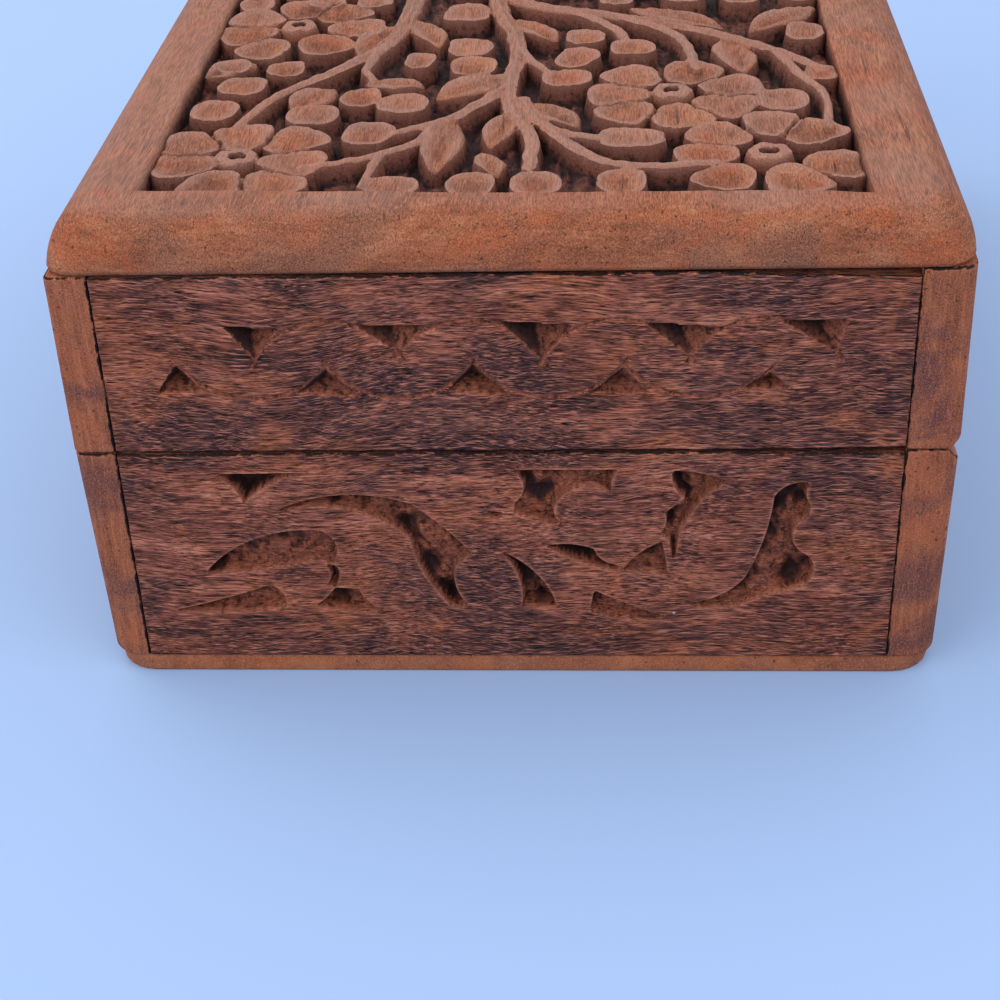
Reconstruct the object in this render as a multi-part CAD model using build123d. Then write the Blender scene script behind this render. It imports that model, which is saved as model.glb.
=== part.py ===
"""Carved wooden trinket box with a hinged lid.

The box lies closed on its bottom board. X runs along its length, the lid opens
at the front (-Y) and turns on two brass butt hinges at the back (+Y). The origin
is the middle of the underside.
"""
import math
import os

from build123d import *

# Outside of the closed box, in plan
box_length = 152.4
box_width = 101.6

# Heights, from the floor up
bottom_thickness = 2.6
base_wall_height = 29.3
rim_gap = 0.2
lid_wall_height = 22.4
top_thickness = 6.5

# Boards
front_wall = 4.9
back_wall = 6.0
end_wall = 6.0
glue_gap = 0.1
bottom_inset = 0.3

# Rounding of the boards
wall_corner_radius = 3.0
bottom_corner_radius = 4.0
top_edge_radius = 5.7
top_under_bevel = 0.6

# Carved panel in the lid: its plain borders, and how deep its ground, leaves and stems lie
border_front = 9.4
border_back = 10.9
border_end = 7.7
panel_corner_radius = 0.8
ground_depth = 3.0
leaf_drop = 0.5
stem_drop = 0.9

# Flowers, buds and leaves of the relief, whose round forms are left by this many straight chisel cuts
cuts_per_round = 8
petals_per_flower = 7
petal_half_length = 3.9
petal_half_width = 3.4
petal_hollow_share = 0.85
petal_hollow_depth = 0.85
leaf_hollow_depth = 0.6
leaf_shoulder = 0.32
flower_eye_radius = 4.6
flower_hole_radius = 0.7
flower_hole_depth = 1.8

# Scrolls in the base walls, and chip cuts in the lid walls
scroll_depth = 1.3
chip_pitch = 16.3
chip_stagger = 8.1
chip_margin = 9.0
upper_chip_drop = 6.1
upper_chip_width = 8.4
upper_chip_height = 4.2
upper_chip_depth = 1.7
lower_chip_rise = 7.7
lower_chip_width = 7.2
lower_chip_height = 3.5
lower_chip_depth = 1.2

# Butt hinges, let into the rims
hinge_from_end = 28.2
hinge_length = 20.0
pin_inset = 1.3
knuckle_radius = 1.2
lid_knuckle_length = 7.0
knuckle_gap = 0.15
pin_radius = 0.55
pin_clearance = 0.05
plate_thickness = 0.8
plate_setback = 0.3
pocket_clearance = 0.25
mortise_clearance = 0.1

# Opening of the lid, which ends where the bevels on the back edges meet
lid_travel = 100.0
stop_clearance = 0.3

# Hinge screws
screw_spacing = 13.0
screw_radius = 0.7
screw_point_radius = 0.2
screw_head_radius = 1.15
screw_head_height = 0.5
screw_length = 8.0
screw_clearance = 0.04

# Places that follow from the sizes
base_rim = bottom_thickness + base_wall_height
seam = base_rim + rim_gap / 2
lid_rim = base_rim + rim_gap
top_underside = lid_rim + lid_wall_height
box_height = top_underside + top_thickness
front_face = -box_width / 2
back_face = box_width / 2
end_face = box_length / 2
front_inside = front_face + front_wall
back_inside = back_face - back_wall
end_inside = end_face - end_wall
panel_width = back_inside - front_inside - 2 * glue_gap
panel_middle = (back_inside + front_inside) / 2
pin_y = back_face - pin_inset
hinge_x = end_face - hinge_from_end

# The carver's drawings below were made at these sizes, in the box's own axes, and stretch with its boards
drawn_half_length = 68.5
drawn_panel_front = -41.4
drawn_panel_back = 39.9
drawn_scroll_width = 90.5
drawn_scroll_middle = -0.55
drawn_scroll_foot = 2.6
drawn_scroll_height = 29.3

# Relief of the lid's right half, as (x, y): the left half mirrors it
flowers = [
    {"at": (57.0, -31.7), "reach": 7.3, "turn": 31},
    {"at": (11.4, -30.8), "reach": 7.4, "turn": 33},
    {"at": (38.0, 19.0), "reach": 7.3, "turn": 9},
    {"at": (57.5, 29.6), "reach": 7.8, "turn": 17},
]
# Each bud is its place, half its length along the box, half its width, and its turn
buds = [
    ((25.5, -13.0), 2.7, 1.9, 0),
    ((20.4, -7.0), 3.4, 3.0, 0),
    ((27.4, -6.0), 3.2, 2.9, 0),
    ((7.0, -8.2), 3.9, 3.3, 0),
    ((40.5, -13.8), 3.3, 3.2, 0),
    ((38.0, -19.6), 3.0, 2.5, 0),
    ((43.6, -24.6), 3.1, 3.2, 0),
    ((41.5, -37.0), 3.5, 3.0, 0),
    ((50.0, -17.0), 3.5, 3.2, 0),
    ((25.2, 7.4), 3.7, 2.6, -20),
    ((32.6, 6.1), 2.7, 3.1, 0),
    ((17.7, 8.4), 2.8, 2.8, 0),
    ((22.0, 14.4), 2.8, 3.0, 0),
    ((16.3, 37.0), 3.4, 2.5, 0),
    ((40.8, 32.2), 3.4, 3.0, 0),
    ((52.4, 14.0), 2.9, 3.9, 0),
    ((33.2, -35.0), 3.1, 3.1, 0),
]
# Each leaf is where it leaves its stem, its tip, and its width
leaves = [
    ((10.5, -17.2), (22.0, -21.6), 5.0),
    ((8.5, -14.8), (19.0, -11.0), 4.6),
    ((9.0, -1.6), (17.5, 4.4), 4.6),
    ((5.0, 14.0), (13.6, 26.6), 5.2),
    ((6.0, 39.4), (15.0, 29.6), 4.8),
    ((18.0, 26.4), (30.5, 28.4), 5.4),
    ((30.5, -0.8), (37.8, -10.0), 5.4),
    ((40.0, 1.0), (47.8, 7.8), 5.0),
    ((44.5, -7.6), (60.8, -8.6), 5.0),
    ((43.0, -0.6), (53.8, -2.6), 3.8),
    ((56.4, 1.6), (68.6, 3.2), 5.0),
    ((61.2, -0.6), (68.2, -5.2), 4.6),
    ((55.4, -3.4), (62.2, -1.2), 3.4),
    ((59.0, 11.4), (68.8, 13.4), 5.2),
    ((32.6, -19.4), (33.8, -11.8), 4.4),
    ((34.4, -23.0), (40.6, -27.8), 5.0),
    ((24.6, -34.4), (29.0, -40.6), 4.6),
]
# Each stem is the points that it passes, and its width at the root and at the tip
stems = [
    ([(-1, -15.8), (9, -16.3), (17, -17.4), (24, -20.6), (31, -25.3), (38, -30.3), (47, -33.2)], 3.4, 1.6),
    ([(-1, -4.5), (8, -3.2), (16, -1.2), (26, -0.4), (34, -1.2), (43, -0.5), (52, 2.2), (61, 2.3)], 3.0, 2.0),
    ([(36, -1.5), (41, -4.6), (46, -7.9), (50.4, -14.0)], 2.6, 1.4),
    ([(48, -9.4), (54, -11.8), (58.4, -18.0), (60.5, -24.0)], 1.8, 1.2),
    ([(49, 4.0), (55, 7.2), (59.6, 11.0), (61, 17.0), (60.2, 23.5)], 2.2, 1.6),
    ([(-1, -4.4), (4.6, 2.0), (8.6, 11.0), (14, 21.0), (20.4, 29.2), (27, 35.2), (31, 38.0)], 3.2, 2.2),
    ([(9.6, 13.0), (15, 18.6), (21, 21.2), (30, 22.2)], 2.2, 1.6),
    ([(24, 32.6), (32, 34.8), (40, 37.4), (50, 37.0)], 1.8, 1.2),
]

# Scrolls of a base wall, as (sideways, up) seen from outside: a corner, then the point that the curve
# from it passes, or None where it runs straight, then the next corner
scrolls = [
    [(-35.2, 29.2), None, (-22.5, 29.3), (-27.5, 28.0), (-31.6, 24.9), None],
    [
        (-30.0, 22.8), (-21.5, 26.1), (-12.0, 25.0), (-8.9, 22.3), (-5.0, 17.9), None,
        (-7.1, 15.8), None, (-5.9, 10.6), None, (-8.4, 10.9), (-10.7, 14.6),
        (-12.3, 20.0), (-19.4, 24.1),
    ],
    [(-37.5, 15.0), (-31.0, 20.0), (-22.8, 21.2), None, (-21.8, 16.4), None, (-24.5, 16.8), (-30.5, 15.4)],
    [
        (-0.6, 29.6), None, (12.4, 29.6), None, (11.8, 26.0), (8.6, 27.2),
        (5.6, 25.5), None, (6.4, 21.9), None, (0.0, 23.6), None, (0.2, 25.1), None,
    ],
    [
        (18.4, 29.4), None, (25.0, 27.8), (20.0, 22.0), (19.5, 14.0), (18.7, 16.9),
        (18.2, 19.8), None, (17.0, 20.7), None, (17.6, 23.6), None, (19.9, 25.6), None,
    ],
    [(-2.0, 18.5), (2.2, 15.4), (5.0, 10.0), None, (0.6, 9.9), (0.5, 14.0)],
    [
        (30.2, 25.8), None, (34.5, 27.6), None, (34.3, 22.9), None, (32.6, 20.6), None,
        (35.3, 15.2), None, (33.5, 12.8), None, (28.5, 11.2), (24.2, 9.8),
        (20.2, 10.7), (24.4, 11.9), (27.2, 14.4), (29.2, 19.8),
    ],
]

# Outsides of the walls: local x runs to the right as seen from outside, local y up
right_side = Plane(origin=(end_face, 0, 0), x_dir=(0, 1, 0), z_dir=(1, 0, 0))
left_side = Plane(origin=(-end_face, 0, 0), x_dir=(0, -1, 0), z_dir=(-1, 0, 0))
front_side = Plane(origin=(0, front_face, 0), x_dir=(1, 0, 0), z_dir=(0, -1, 0))
top_side = Plane(origin=(0, 0, box_height), x_dir=(1, 0, 0), z_dir=(0, 0, 1))


# Boards

def block(x0, x1, y0, y1, z0, z1):
    """A board between two corners."""
    middle = Pos((x0 + x1) / 2, (y0 + y1) / 2, (z0 + z1) / 2)
    return middle * Box(x1 - x0, y1 - y0, z1 - z0)


def front_board(z0, z1):
    """A long wall at the front, with its two outer corners rounded."""
    wall = block(-end_face, end_face, front_face, front_inside, z0, z1)
    return fillet(wall.edges().filter_by(Axis.Z).group_by(Axis.Y)[0], wall_corner_radius)


def back_board(z0, z1):
    """A long wall at the back, with its two outer corners rounded."""
    wall = block(-end_face, end_face, back_inside, back_face, z0, z1)
    return fillet(wall.edges().filter_by(Axis.Z).group_by(Axis.Y)[-1], wall_corner_radius)


def end_board(side, z0, z1):
    """An end wall let in between the long walls. side is 1 at the right end and -1 at the left."""
    x0, x1 = sorted((side * end_inside, side * end_face))
    return block(x0, x1, front_inside + glue_gap, back_inside - glue_gap, z0, z1)


# Carving in the side walls

def scroll_cut(side, middle, mirrored=False):
    """The recesses of one set of scrolls, cut into a base wall round the given middle."""
    stretch_u = panel_width / drawn_scroll_width
    stretch_v = base_wall_height / drawn_scroll_height

    def spot(point):
        u = (point[0] - drawn_scroll_middle) * stretch_u
        v = (point[1] - drawn_scroll_foot) * stretch_v
        return (middle - u if mirrored else middle + u, bottom_thickness + v)

    recesses = []
    for outline in scrolls:
        corners = [spot(p) for p in outline[0::2]]
        edges = []
        for i, bend in enumerate(outline[1::2]):
            start, end = corners[i], corners[(i + 1) % len(corners)]
            edges.append(ThreePointArc(start, spot(bend), end) if bend else Line(start, end))
        recesses.append(make_face(edges))
    return extrude(side * (Sketch() + recesses), -scroll_depth)


def chip(side, corners, deepest, depth):
    """A chip cut: a pit whose flat sides slope from its corners to its deepest point."""
    overshoot = 1.1
    bottom = side.from_local_coords((*deepest, -depth))
    rim = []
    for u, v in corners:
        spot = (deepest[0] + (u - deepest[0]) * overshoot, deepest[1] + (v - deepest[1]) * overshoot)
        rim.append(side.from_local_coords((*spot, depth * (overshoot - 1))))
    pit_sides = [Wire.make_polygon([rim[i - 1], rim[i], bottom]) for i in range(len(rim))]
    return Solid(Shell([Face(w) for w in [Wire.make_polygon(rim), *pit_sides]]))


def chip_row(side, start, stop):
    """A wave of chips along a lid wall: upper ones point down, and lower ones between them point up."""
    count = int((stop - start - 2 * chip_margin) / chip_pitch) + 1
    first = (start + stop - (count - 1) * chip_pitch + chip_stagger) / 2
    upper_v = top_underside - upper_chip_drop
    lower_v = lid_rim + lower_chip_rise
    cuts = []
    for i in range(count):
        u = first + i * chip_pitch
        half = upper_chip_width / 2
        corners = [(u - half, upper_v), (u + half, upper_v), (u, upper_v - upper_chip_height)]
        cuts.append(chip(side, corners, (u, upper_v - upper_chip_height / 3), upper_chip_depth))
        u -= chip_stagger
        half = lower_chip_width / 2
        corners = [(u - half, lower_v), (u + half, lower_v), (u, lower_v + lower_chip_height)]
        cuts.append(chip(side, corners, (u, lower_v + lower_chip_height * 2 / 3), lower_chip_depth))
    return cuts


# Relief of the lid

def lid_spot(point):
    """A point of the lid drawing, stretched to the panel that the borders leave."""
    panel_front = front_face + border_front
    panel_back = back_face - border_back
    along = (point[1] - drawn_panel_front) / (drawn_panel_back - drawn_panel_front)
    x = point[0] * (end_face - border_end) / drawn_half_length
    return Vector(x, panel_front + along * (panel_back - panel_front))


def leaf_outline(base, tip, width):
    """A leaf left by three straight cuts on each side, the middle one along its widest part."""
    along = tip - base
    across = along.normalized().rotate(Axis.Z, 90) * width / 2
    widest = [base + along * leaf_shoulder, tip - along * leaf_shoulder]
    return make_face(Polyline(
        base, widest[0] + across, widest[1] + across, tip, widest[1] - across, widest[0] - across, close=True
    ))


def stem_outline(points, root_width, tip_width):
    """A ribbon of straight cuts along the stem's curve, narrower from its root to its tip."""
    middle = Spline(*[lid_spot(p) for p in points])
    left, right = [], []
    for i in range(len(points)):
        t = i / (len(points) - 1)
        half_width = (root_width + (tip_width - root_width) * t) / 2
        across = (middle % t).rotate(Axis.Z, 90) * half_width
        left.append(middle @ t + across)
        right.append(middle @ t - across)
    return make_face(Polyline(*left, *reversed(right), close=True))


def cut_round(half_length, half_width):
    """The corners of a round form, as straight cuts leave them."""
    turns = [2 * math.pi * (i + 0.5) / cuts_per_round for i in range(cuts_per_round)]
    return [Vector(half_length * math.cos(t), half_width * math.sin(t)) for t in turns]


def bloom(place, half_length, half_width):
    """The outline of a petal or bud."""
    return place * make_face(Polyline(*cut_round(half_length, half_width), close=True))


def pit(place, half_length, half_width, depth):
    """The hollow in the top of a petal, or the punched eye of a flower."""
    corners = [(place * Pos(corner)).position for corner in cut_round(half_length, half_width)]
    middle = place.position
    return chip(top_side, [(c.X, c.Y) for c in corners], (middle.X, middle.Y), depth)


def leaf_hollow(base, tip, width):
    """A lying wedge whose two slopes hollow a leaf along its length."""
    heading = math.degrees(math.atan2(tip.Y - base.Y, tip.X - base.X))
    middle = (base + tip) / 2
    depth = leaf_hollow_depth
    slopes = Polyline((width, depth), (0, -depth), (-width, depth), close=True)
    wedge = extrude(Plane.YZ * make_face(slopes), (tip - base).length / 2, both=True)
    return Pos(middle.X, middle.Y, box_height - leaf_drop) * Rot(0, 0, heading) * wedge


def carved_top():
    """The lid's board with its edges rounded over and its relief sunk into a panel."""
    blooms, hollows = [], []
    for flower in flowers:
        middle = Pos(lid_spot(flower["at"]))
        blooms.append(bloom(middle, flower_eye_radius, flower_eye_radius))
        hollows.append(pit(middle, flower_hole_radius, flower_hole_radius, flower_hole_depth))
        for i in range(petals_per_flower):
            place = middle * Rot(0, 0, flower["turn"] + i * 360 / petals_per_flower) * Pos(flower["reach"], 0)
            blooms.append(bloom(place, petal_half_length, petal_half_width))
            hollow_size = (petal_half_length * petal_hollow_share, petal_half_width * petal_hollow_share)
            hollows.append(pit(place, *hollow_size, petal_hollow_depth))
    for at, half_length, half_width, turn in buds:
        blooms.append(bloom(Pos(lid_spot(at)) * Rot(0, 0, turn), half_length, half_width))

    leaf_faces, leaf_hollows = [], []
    for start, end, width in leaves:
        base, tip = lid_spot(start), lid_spot(end)
        leaf_faces.append(leaf_outline(base, tip, width))
        leaf_hollows.append(leaf_hollow(base, tip, width))
    stem_faces = [stem_outline(*stem) for stem in stems]

    panel = Pos(0, (border_front - border_back) / 2) * RectangleRounded(
        box_length - 2 * border_end, box_width - border_front - border_back, panel_corner_radius
    )
    half_panel = panel & Pos(box_length / 2, 0) * Rectangle(box_length, box_width)
    bloom_area = (Sketch() + blooms) & half_panel
    leaf_area = ((Sketch() + leaf_faces) & half_panel) - bloom_area
    stem_area = ((Sketch() + stem_faces) & half_panel) - bloom_area - leaf_area
    ground_area = half_panel - bloom_area - leaf_area - stem_area

    blank = block(-end_face, end_face, front_face, back_face, top_underside, box_height)
    rounded = blank.edges().filter_by(Axis.Z) + blank.faces().sort_by(Axis.Z)[-1].edges()
    blank = fillet(rounded, top_edge_radius)
    blank = chamfer(blank.faces().sort_by(Axis.Z)[0].edges(), top_under_bevel)
    face_up = Pos(0, 0, box_height)
    above_leaves = extrude(face_up * half_panel, -leaf_drop)
    leaf_cut = extrude(face_up * leaf_area, -leaf_drop - leaf_hollow_depth) & (above_leaves + leaf_hollows)
    blank -= extrude(face_up * (ground_area + mirror(ground_area, Plane.YZ)), -ground_depth)
    blank -= extrude(face_up * (stem_area + mirror(stem_area, Plane.YZ)), -stem_drop)
    hollows += leaf_cut.solids()
    return blank - (hollows + [mirror(h, Plane.YZ) for h in hollows])


# Hinges: each is made at the middle of the box, and placed from there

def along_x(radius, x0, x1):
    """A round bar round the pin's axis, from x0 to x1."""
    return Pos((x0 + x1) / 2, pin_y, seam) * Cylinder(radius, x1 - x0, rotation=(0, 90, 0))


def screw_spots(z):
    """Where the two screws of a plate enter it."""
    y = (back_inside + plate_setback + pin_y - knuckle_radius - pocket_clearance) / 2
    return [Pos(side * screw_spacing / 2, y, z) for side in (-1, 1)]


def screw_form(up, clearance):
    """A countersunk screw that enters downwards, or upwards if up is 1, with clearance all round it."""
    radii = [screw_head_radius, screw_radius, screw_point_radius]
    depths = [0, screw_head_height, screw_length + clearance]
    rings = []
    for radius, depth in zip(radii, depths):
        corners = cut_round(radius + clearance, radius + clearance)
        rings.append([corner + (0, 0, up * depth) for corner in corners])
    faces = [Face(Wire.make_polygon(rings[0])), Face(Wire.make_polygon(rings[-1]))]
    for upper, lower in zip(rings, rings[1:]):
        for i in range(cuts_per_round):
            faces.append(Face(Wire.make_polygon([upper[i - 1], upper[i], lower[i], lower[i - 1]])))
    return Solid(Shell(faces))


def hinge_plate(up):
    """A plate with its knuckles: the base's has the two outer ones, the lid's (up is 1) the middle one."""
    z0, z1 = (lid_rim, lid_rim + plate_thickness) if up == 1 else (base_rim - plate_thickness, base_rim)
    half, middle_half = hinge_length / 2, lid_knuckle_length / 2
    plate = block(-half, half, back_inside + plate_setback, pin_y, z0, z1)
    near_pin = pin_y - knuckle_radius - pocket_clearance
    if up == 1:
        for side in (-1, 1):
            x0, x1 = sorted((side * middle_half, side * half))
            plate -= block(x0, x1, near_pin, pin_y, z0, z1)
        plate += along_x(knuckle_radius, -middle_half, middle_half)
    else:
        plate -= block(-middle_half - knuckle_gap, middle_half + knuckle_gap, near_pin, pin_y, z0, z1)
        for side in (-1, 1):
            x0, x1 = sorted((side * (middle_half + knuckle_gap), side * half))
            plate += along_x(knuckle_radius, x0, x1)
    plate -= along_x(pin_radius + pin_clearance, -half, half)
    for spot in screw_spots(z0 if up == 1 else z1):
        plate -= spot * screw_form(up, screw_clearance)
    return plate


def hinge_screws(up):
    """The two screws of a plate."""
    return Compound([spot * screw_form(up, 0) for spot in screw_spots(lid_rim if up == 1 else base_rim)])


def hinge_seat(up):
    """What the hinges take out of a back wall: mortises for the plates and knuckles, and screw holes."""
    z0, z1 = (seam, lid_rim + plate_thickness) if up == 1 else (base_rim - plate_thickness, seam)
    half = hinge_length / 2 + mortise_clearance
    seat = block(-half, half, back_inside, pin_y, z0, z1)
    seat += along_x(knuckle_radius + pocket_clearance, -half, half)
    for spot in screw_spots(lid_rim if up == 1 else base_rim):
        seat += spot * screw_form(up, screw_clearance)
    return [Pos(side * hinge_x, 0, 0) * seat for side in (-1, 1)]


def back_bevel(up):
    """The slope on a back edge, down from the pin, on which the open lid comes to rest."""
    angle = math.radians((lid_travel + stop_clearance) / 2)
    reach = 2 * pin_inset
    top_corner = (pin_y + reach, seam + up * reach * math.tan(angle))
    slope = make_face(Polyline((pin_y, seam), (pin_y + reach, seam), top_corner, close=True))
    return extrude(Plane.YZ * slope, end_face, both=True)


right_scroll = box_length / 4
bottom_size = (box_length - 2 * bottom_inset, box_width - 2 * bottom_inset)
bottom_outline = RectangleRounded(*bottom_size, bottom_corner_radius)
base_front = front_board(bottom_thickness, base_rim)
base_front -= scroll_cut(front_side, -right_scroll) + scroll_cut(front_side, right_scroll, mirrored=True)
base_back = back_board(bottom_thickness, base_rim) - back_bevel(-1) - hinge_seat(-1)
lid_back = back_board(lid_rim, top_underside) - back_bevel(1) - hinge_seat(1)

lid_left = end_board(-1, lid_rim, top_underside) - chip_row(left_side, -back_inside, -front_inside)

parts = {
    "base_bottom_board": extrude(bottom_outline, bottom_thickness),
    "base_front_wall": base_front,
    "base_back_wall": base_back,
    "base_right_panel": end_board(1, bottom_thickness, base_rim) - scroll_cut(right_side, panel_middle),
    "base_left_panel": end_board(-1, bottom_thickness, base_rim) - scroll_cut(left_side, -panel_middle),
    "lid_top_board": carved_top(),
    "lid_front_wall": front_board(lid_rim, top_underside) - chip_row(front_side, -end_inside, end_inside),
    "lid_back_wall": lid_back,
    "lid_right_panel": end_board(1, lid_rim, top_underside) - chip_row(right_side, front_inside, back_inside),
    "lid_left_panel": lid_left,
}
for side_name, side in (("right", 1), ("left", -1)):
    place = Pos(side * hinge_x, 0, 0)
    parts[f"{side_name}_hinge_base_plate"] = place * hinge_plate(-1)
    parts[f"{side_name}_hinge_lid_plate"] = place * hinge_plate(1)
    parts[f"{side_name}_hinge_pin"] = place * along_x(pin_radius, -hinge_length / 2, hinge_length / 2)
    parts[f"{side_name}_hinge_base_screws"] = place * hinge_screws(-1)
    parts[f"{side_name}_hinge_lid_screws"] = place * hinge_screws(1)

os.makedirs("parts", exist_ok=True)
for name, part in parts.items():
    export_step(part, f"parts/{name}.step")
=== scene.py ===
"""Carved wooden trinket box, dressed for the picture.

Sizes are in millimetres until a mesh is filled, which turns them into metres. X runs along the box, the
lid opens at the front (-Y) and the hinges are at the back (+Y). The sections follow the box as it is put
together.
"""

import math

import bpy
import numpy as np
from mathutils import Matrix


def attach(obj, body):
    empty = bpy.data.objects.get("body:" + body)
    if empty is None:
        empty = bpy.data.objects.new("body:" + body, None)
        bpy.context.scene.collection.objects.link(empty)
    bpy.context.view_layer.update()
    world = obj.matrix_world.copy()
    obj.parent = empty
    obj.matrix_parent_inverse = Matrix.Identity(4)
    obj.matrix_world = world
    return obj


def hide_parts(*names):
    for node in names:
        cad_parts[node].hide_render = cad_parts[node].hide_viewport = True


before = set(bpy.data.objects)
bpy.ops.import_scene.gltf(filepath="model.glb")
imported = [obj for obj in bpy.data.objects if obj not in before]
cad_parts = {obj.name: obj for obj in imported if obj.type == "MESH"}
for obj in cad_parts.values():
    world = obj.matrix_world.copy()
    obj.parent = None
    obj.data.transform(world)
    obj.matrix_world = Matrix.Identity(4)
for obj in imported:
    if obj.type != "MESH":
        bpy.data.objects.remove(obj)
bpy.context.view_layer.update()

# Bottom board
# A thin board of plain reddish hardwood under the walls, which are glued on to it.
# It is sawn with rounded corners, and its edges are eased with sandpaper.

bottom_half_length, bottom_half_width, bottom_radius = 75.9, 50.4, 5.0
bottom_top = 2.6
bottom_easing = 0.4


def rounded_outline(half_x, half_y, radius, per_corner, per_side):
    """Points round a rectangle with round corners, anticlockwise from the back end of its right side.

    Each corner is a quarter circle about a centre one radius in from both sides, and the straight after it
    is divided evenly. radius is one number or one for each corner.
    """
    signs = np.array([[1, 1], [-1, 1], [-1, -1], [1, -1]])
    radius = np.broadcast_to(radius, 4)[:, None]
    centres = signs * (np.array([[half_x, half_y]]) - radius)
    turns = np.pi / 2 * (np.arange(4)[:, None] + np.linspace(0, 1, per_corner)[None])
    arcs = centres[:, None] + radius[..., None] * np.stack([np.cos(turns), np.sin(turns)], -1)
    share = np.linspace(0, 1, per_side + 2)[1:-1][None, :, None]
    starts, ends = arcs[:, -1:], np.roll(arcs, -1, axis=0)[:, :1]
    return np.concatenate([arcs, starts + (ends - starts) * share], axis=1).reshape(-1, 2)


def level_ring(outline, height):
    """A plan outline as a ring of points at one height, or each at its own."""
    return np.column_stack([outline, np.broadcast_to(height, len(outline))])


def rounding(radius, count):
    """A quarter circle over an edge: how far in and how far down each of its points lies from the corner."""
    turns = np.linspace(0, np.pi / 2, count)
    return radius * (1 - np.cos(turns)), radius * (1 - np.sin(turns))


def fill(name, points, *faces, marks=None, crease=38):
    """A piece from its points and from arrays of faces, one face a row.

    Faces are smooth except across edges that turn by more than the crease angle. marks are numbers for the
    material to read: steep has one for each face and the others one for each point. cap marks the faces of
    many corners, which the dirt of the seams next to them leaves clean.
    """
    mesh = bpy.data.meshes.new(name)
    corners = np.concatenate([f.ravel() for f in faces])
    sizes = np.concatenate([np.full(len(f), f.shape[1]) for f in faces])
    mesh.vertices.add(len(points))
    mesh.loops.add(len(corners))
    mesh.polygons.add(len(sizes))
    mesh.vertices.foreach_set("co", (points * 0.001).astype(np.float32).ravel())
    mesh.loops.foreach_set("vertex_index", corners.astype(np.int32))
    mesh.polygons.foreach_set("loop_start", (np.cumsum(sizes) - sizes).astype(np.int32))
    mesh.update(calc_edges=True)
    mesh.shade_smooth()
    mesh.set_sharp_from_angle(angle=math.radians(crease))
    for kind, values in {**(marks or {}), "cap": sizes > 4}.items():
        mark = mesh.attributes.new(kind, "FLOAT", "FACE" if kind in ("cap", "steep_shade") else "POINT")
        mark.data.foreach_set("value", values.astype(np.float32).ravel())
    piece = bpy.data.objects.new(name, mesh)
    bpy.context.scene.collection.objects.link(piece)
    return piece


def ring_faces(rings, around):
    """The skin between stacked closed rings of points, from the lowest outside one, and its two end caps."""
    here = np.arange(around)
    after = np.roll(here, -1)
    rows = np.arange(rings - 1)[:, None] * around
    skin = np.stack([rows + here, rows + after, rows + around + after, rows + around + here], -1)
    return skin.reshape(-1, 4), here[::-1][None], ((rings - 1) * around + here)[None]


def noise(x, y, size_x, size_y, seed):
    """Smooth random heights from -1 to 1: random numbers on a lattice, eased between its points."""
    table = np.random.default_rng(seed).uniform(-1, 1, (97, 89))
    u, v = np.asarray(x) / size_x, np.asarray(y) / size_y
    i, j = np.floor(u).astype(int), np.floor(v).astype(int)
    a, b = u - i, v - j
    a, b = a * a * (3 - 2 * a), b * b * (3 - 2 * b)
    near = table[i % 97, j % 89] * (1 - a) + table[(i + 1) % 97, j % 89] * a
    far = table[i % 97, (j + 1) % 89] * (1 - a) + table[(i + 1) % 97, (j + 1) % 89] * a
    return near * (1 - b) + far * b


def shader(tree, kind, sockets=None, **settings):
    """A shader node with its settings; a socket gets a number or colour, or another node's output."""
    made = tree.nodes.new("ShaderNode" + kind)
    for key, value in settings.items():
        setattr(made, key, value)
    for key, value in (sockets or {}).items():
        if isinstance(value, bpy.types.NodeSocket):
            tree.links.new(value, made.inputs[key])
        else:
            made.inputs[key].default_value = value
    return made


def ramp(tree, value, stops):
    """Colours or greys against a value, straight between the stops."""
    made = shader(tree, "ValToRGB", {"Fac": value})
    slots = made.color_ramp.elements
    while len(slots) < len(stops):
        slots.new(0.5)
    for slot, (place, colour) in zip(slots, stops):
        slot.position = place
        slot.color = (*colour, 1) if isinstance(colour, tuple) else (colour, colour, colour, 1)
    return made.outputs["Color"]


def mixed(tree, share, first, second, way="MIX"):
    """Two colours mixed by a share from 0 to 1."""
    sockets = {0: share, 6: first, 7: second}
    sockets = {key: (*value, 1) if isinstance(value, tuple) else value for key, value in sockets.items()}
    return shader(tree, "Mix", sockets, data_type="RGBA", blend_type=way).outputs[2]


def sized_noise(tree, place, sizes, detail=3.0, rough=0.55, warp=0.0):
    """Noise whose blotches are about as long, wide and high as the three sizes, in millimetres."""
    scale = tuple(1000 / s for s in sizes)
    spread = shader(tree, "Mapping", {"Vector": place, "Scale": scale})
    made = shader(tree, "TexNoise", {
        "Vector": spread.outputs[0], "Scale": 1.0, "Detail": detail, "Roughness": rough, "Distortion": warp,
    })
    return made.outputs["Fac"]


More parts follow.
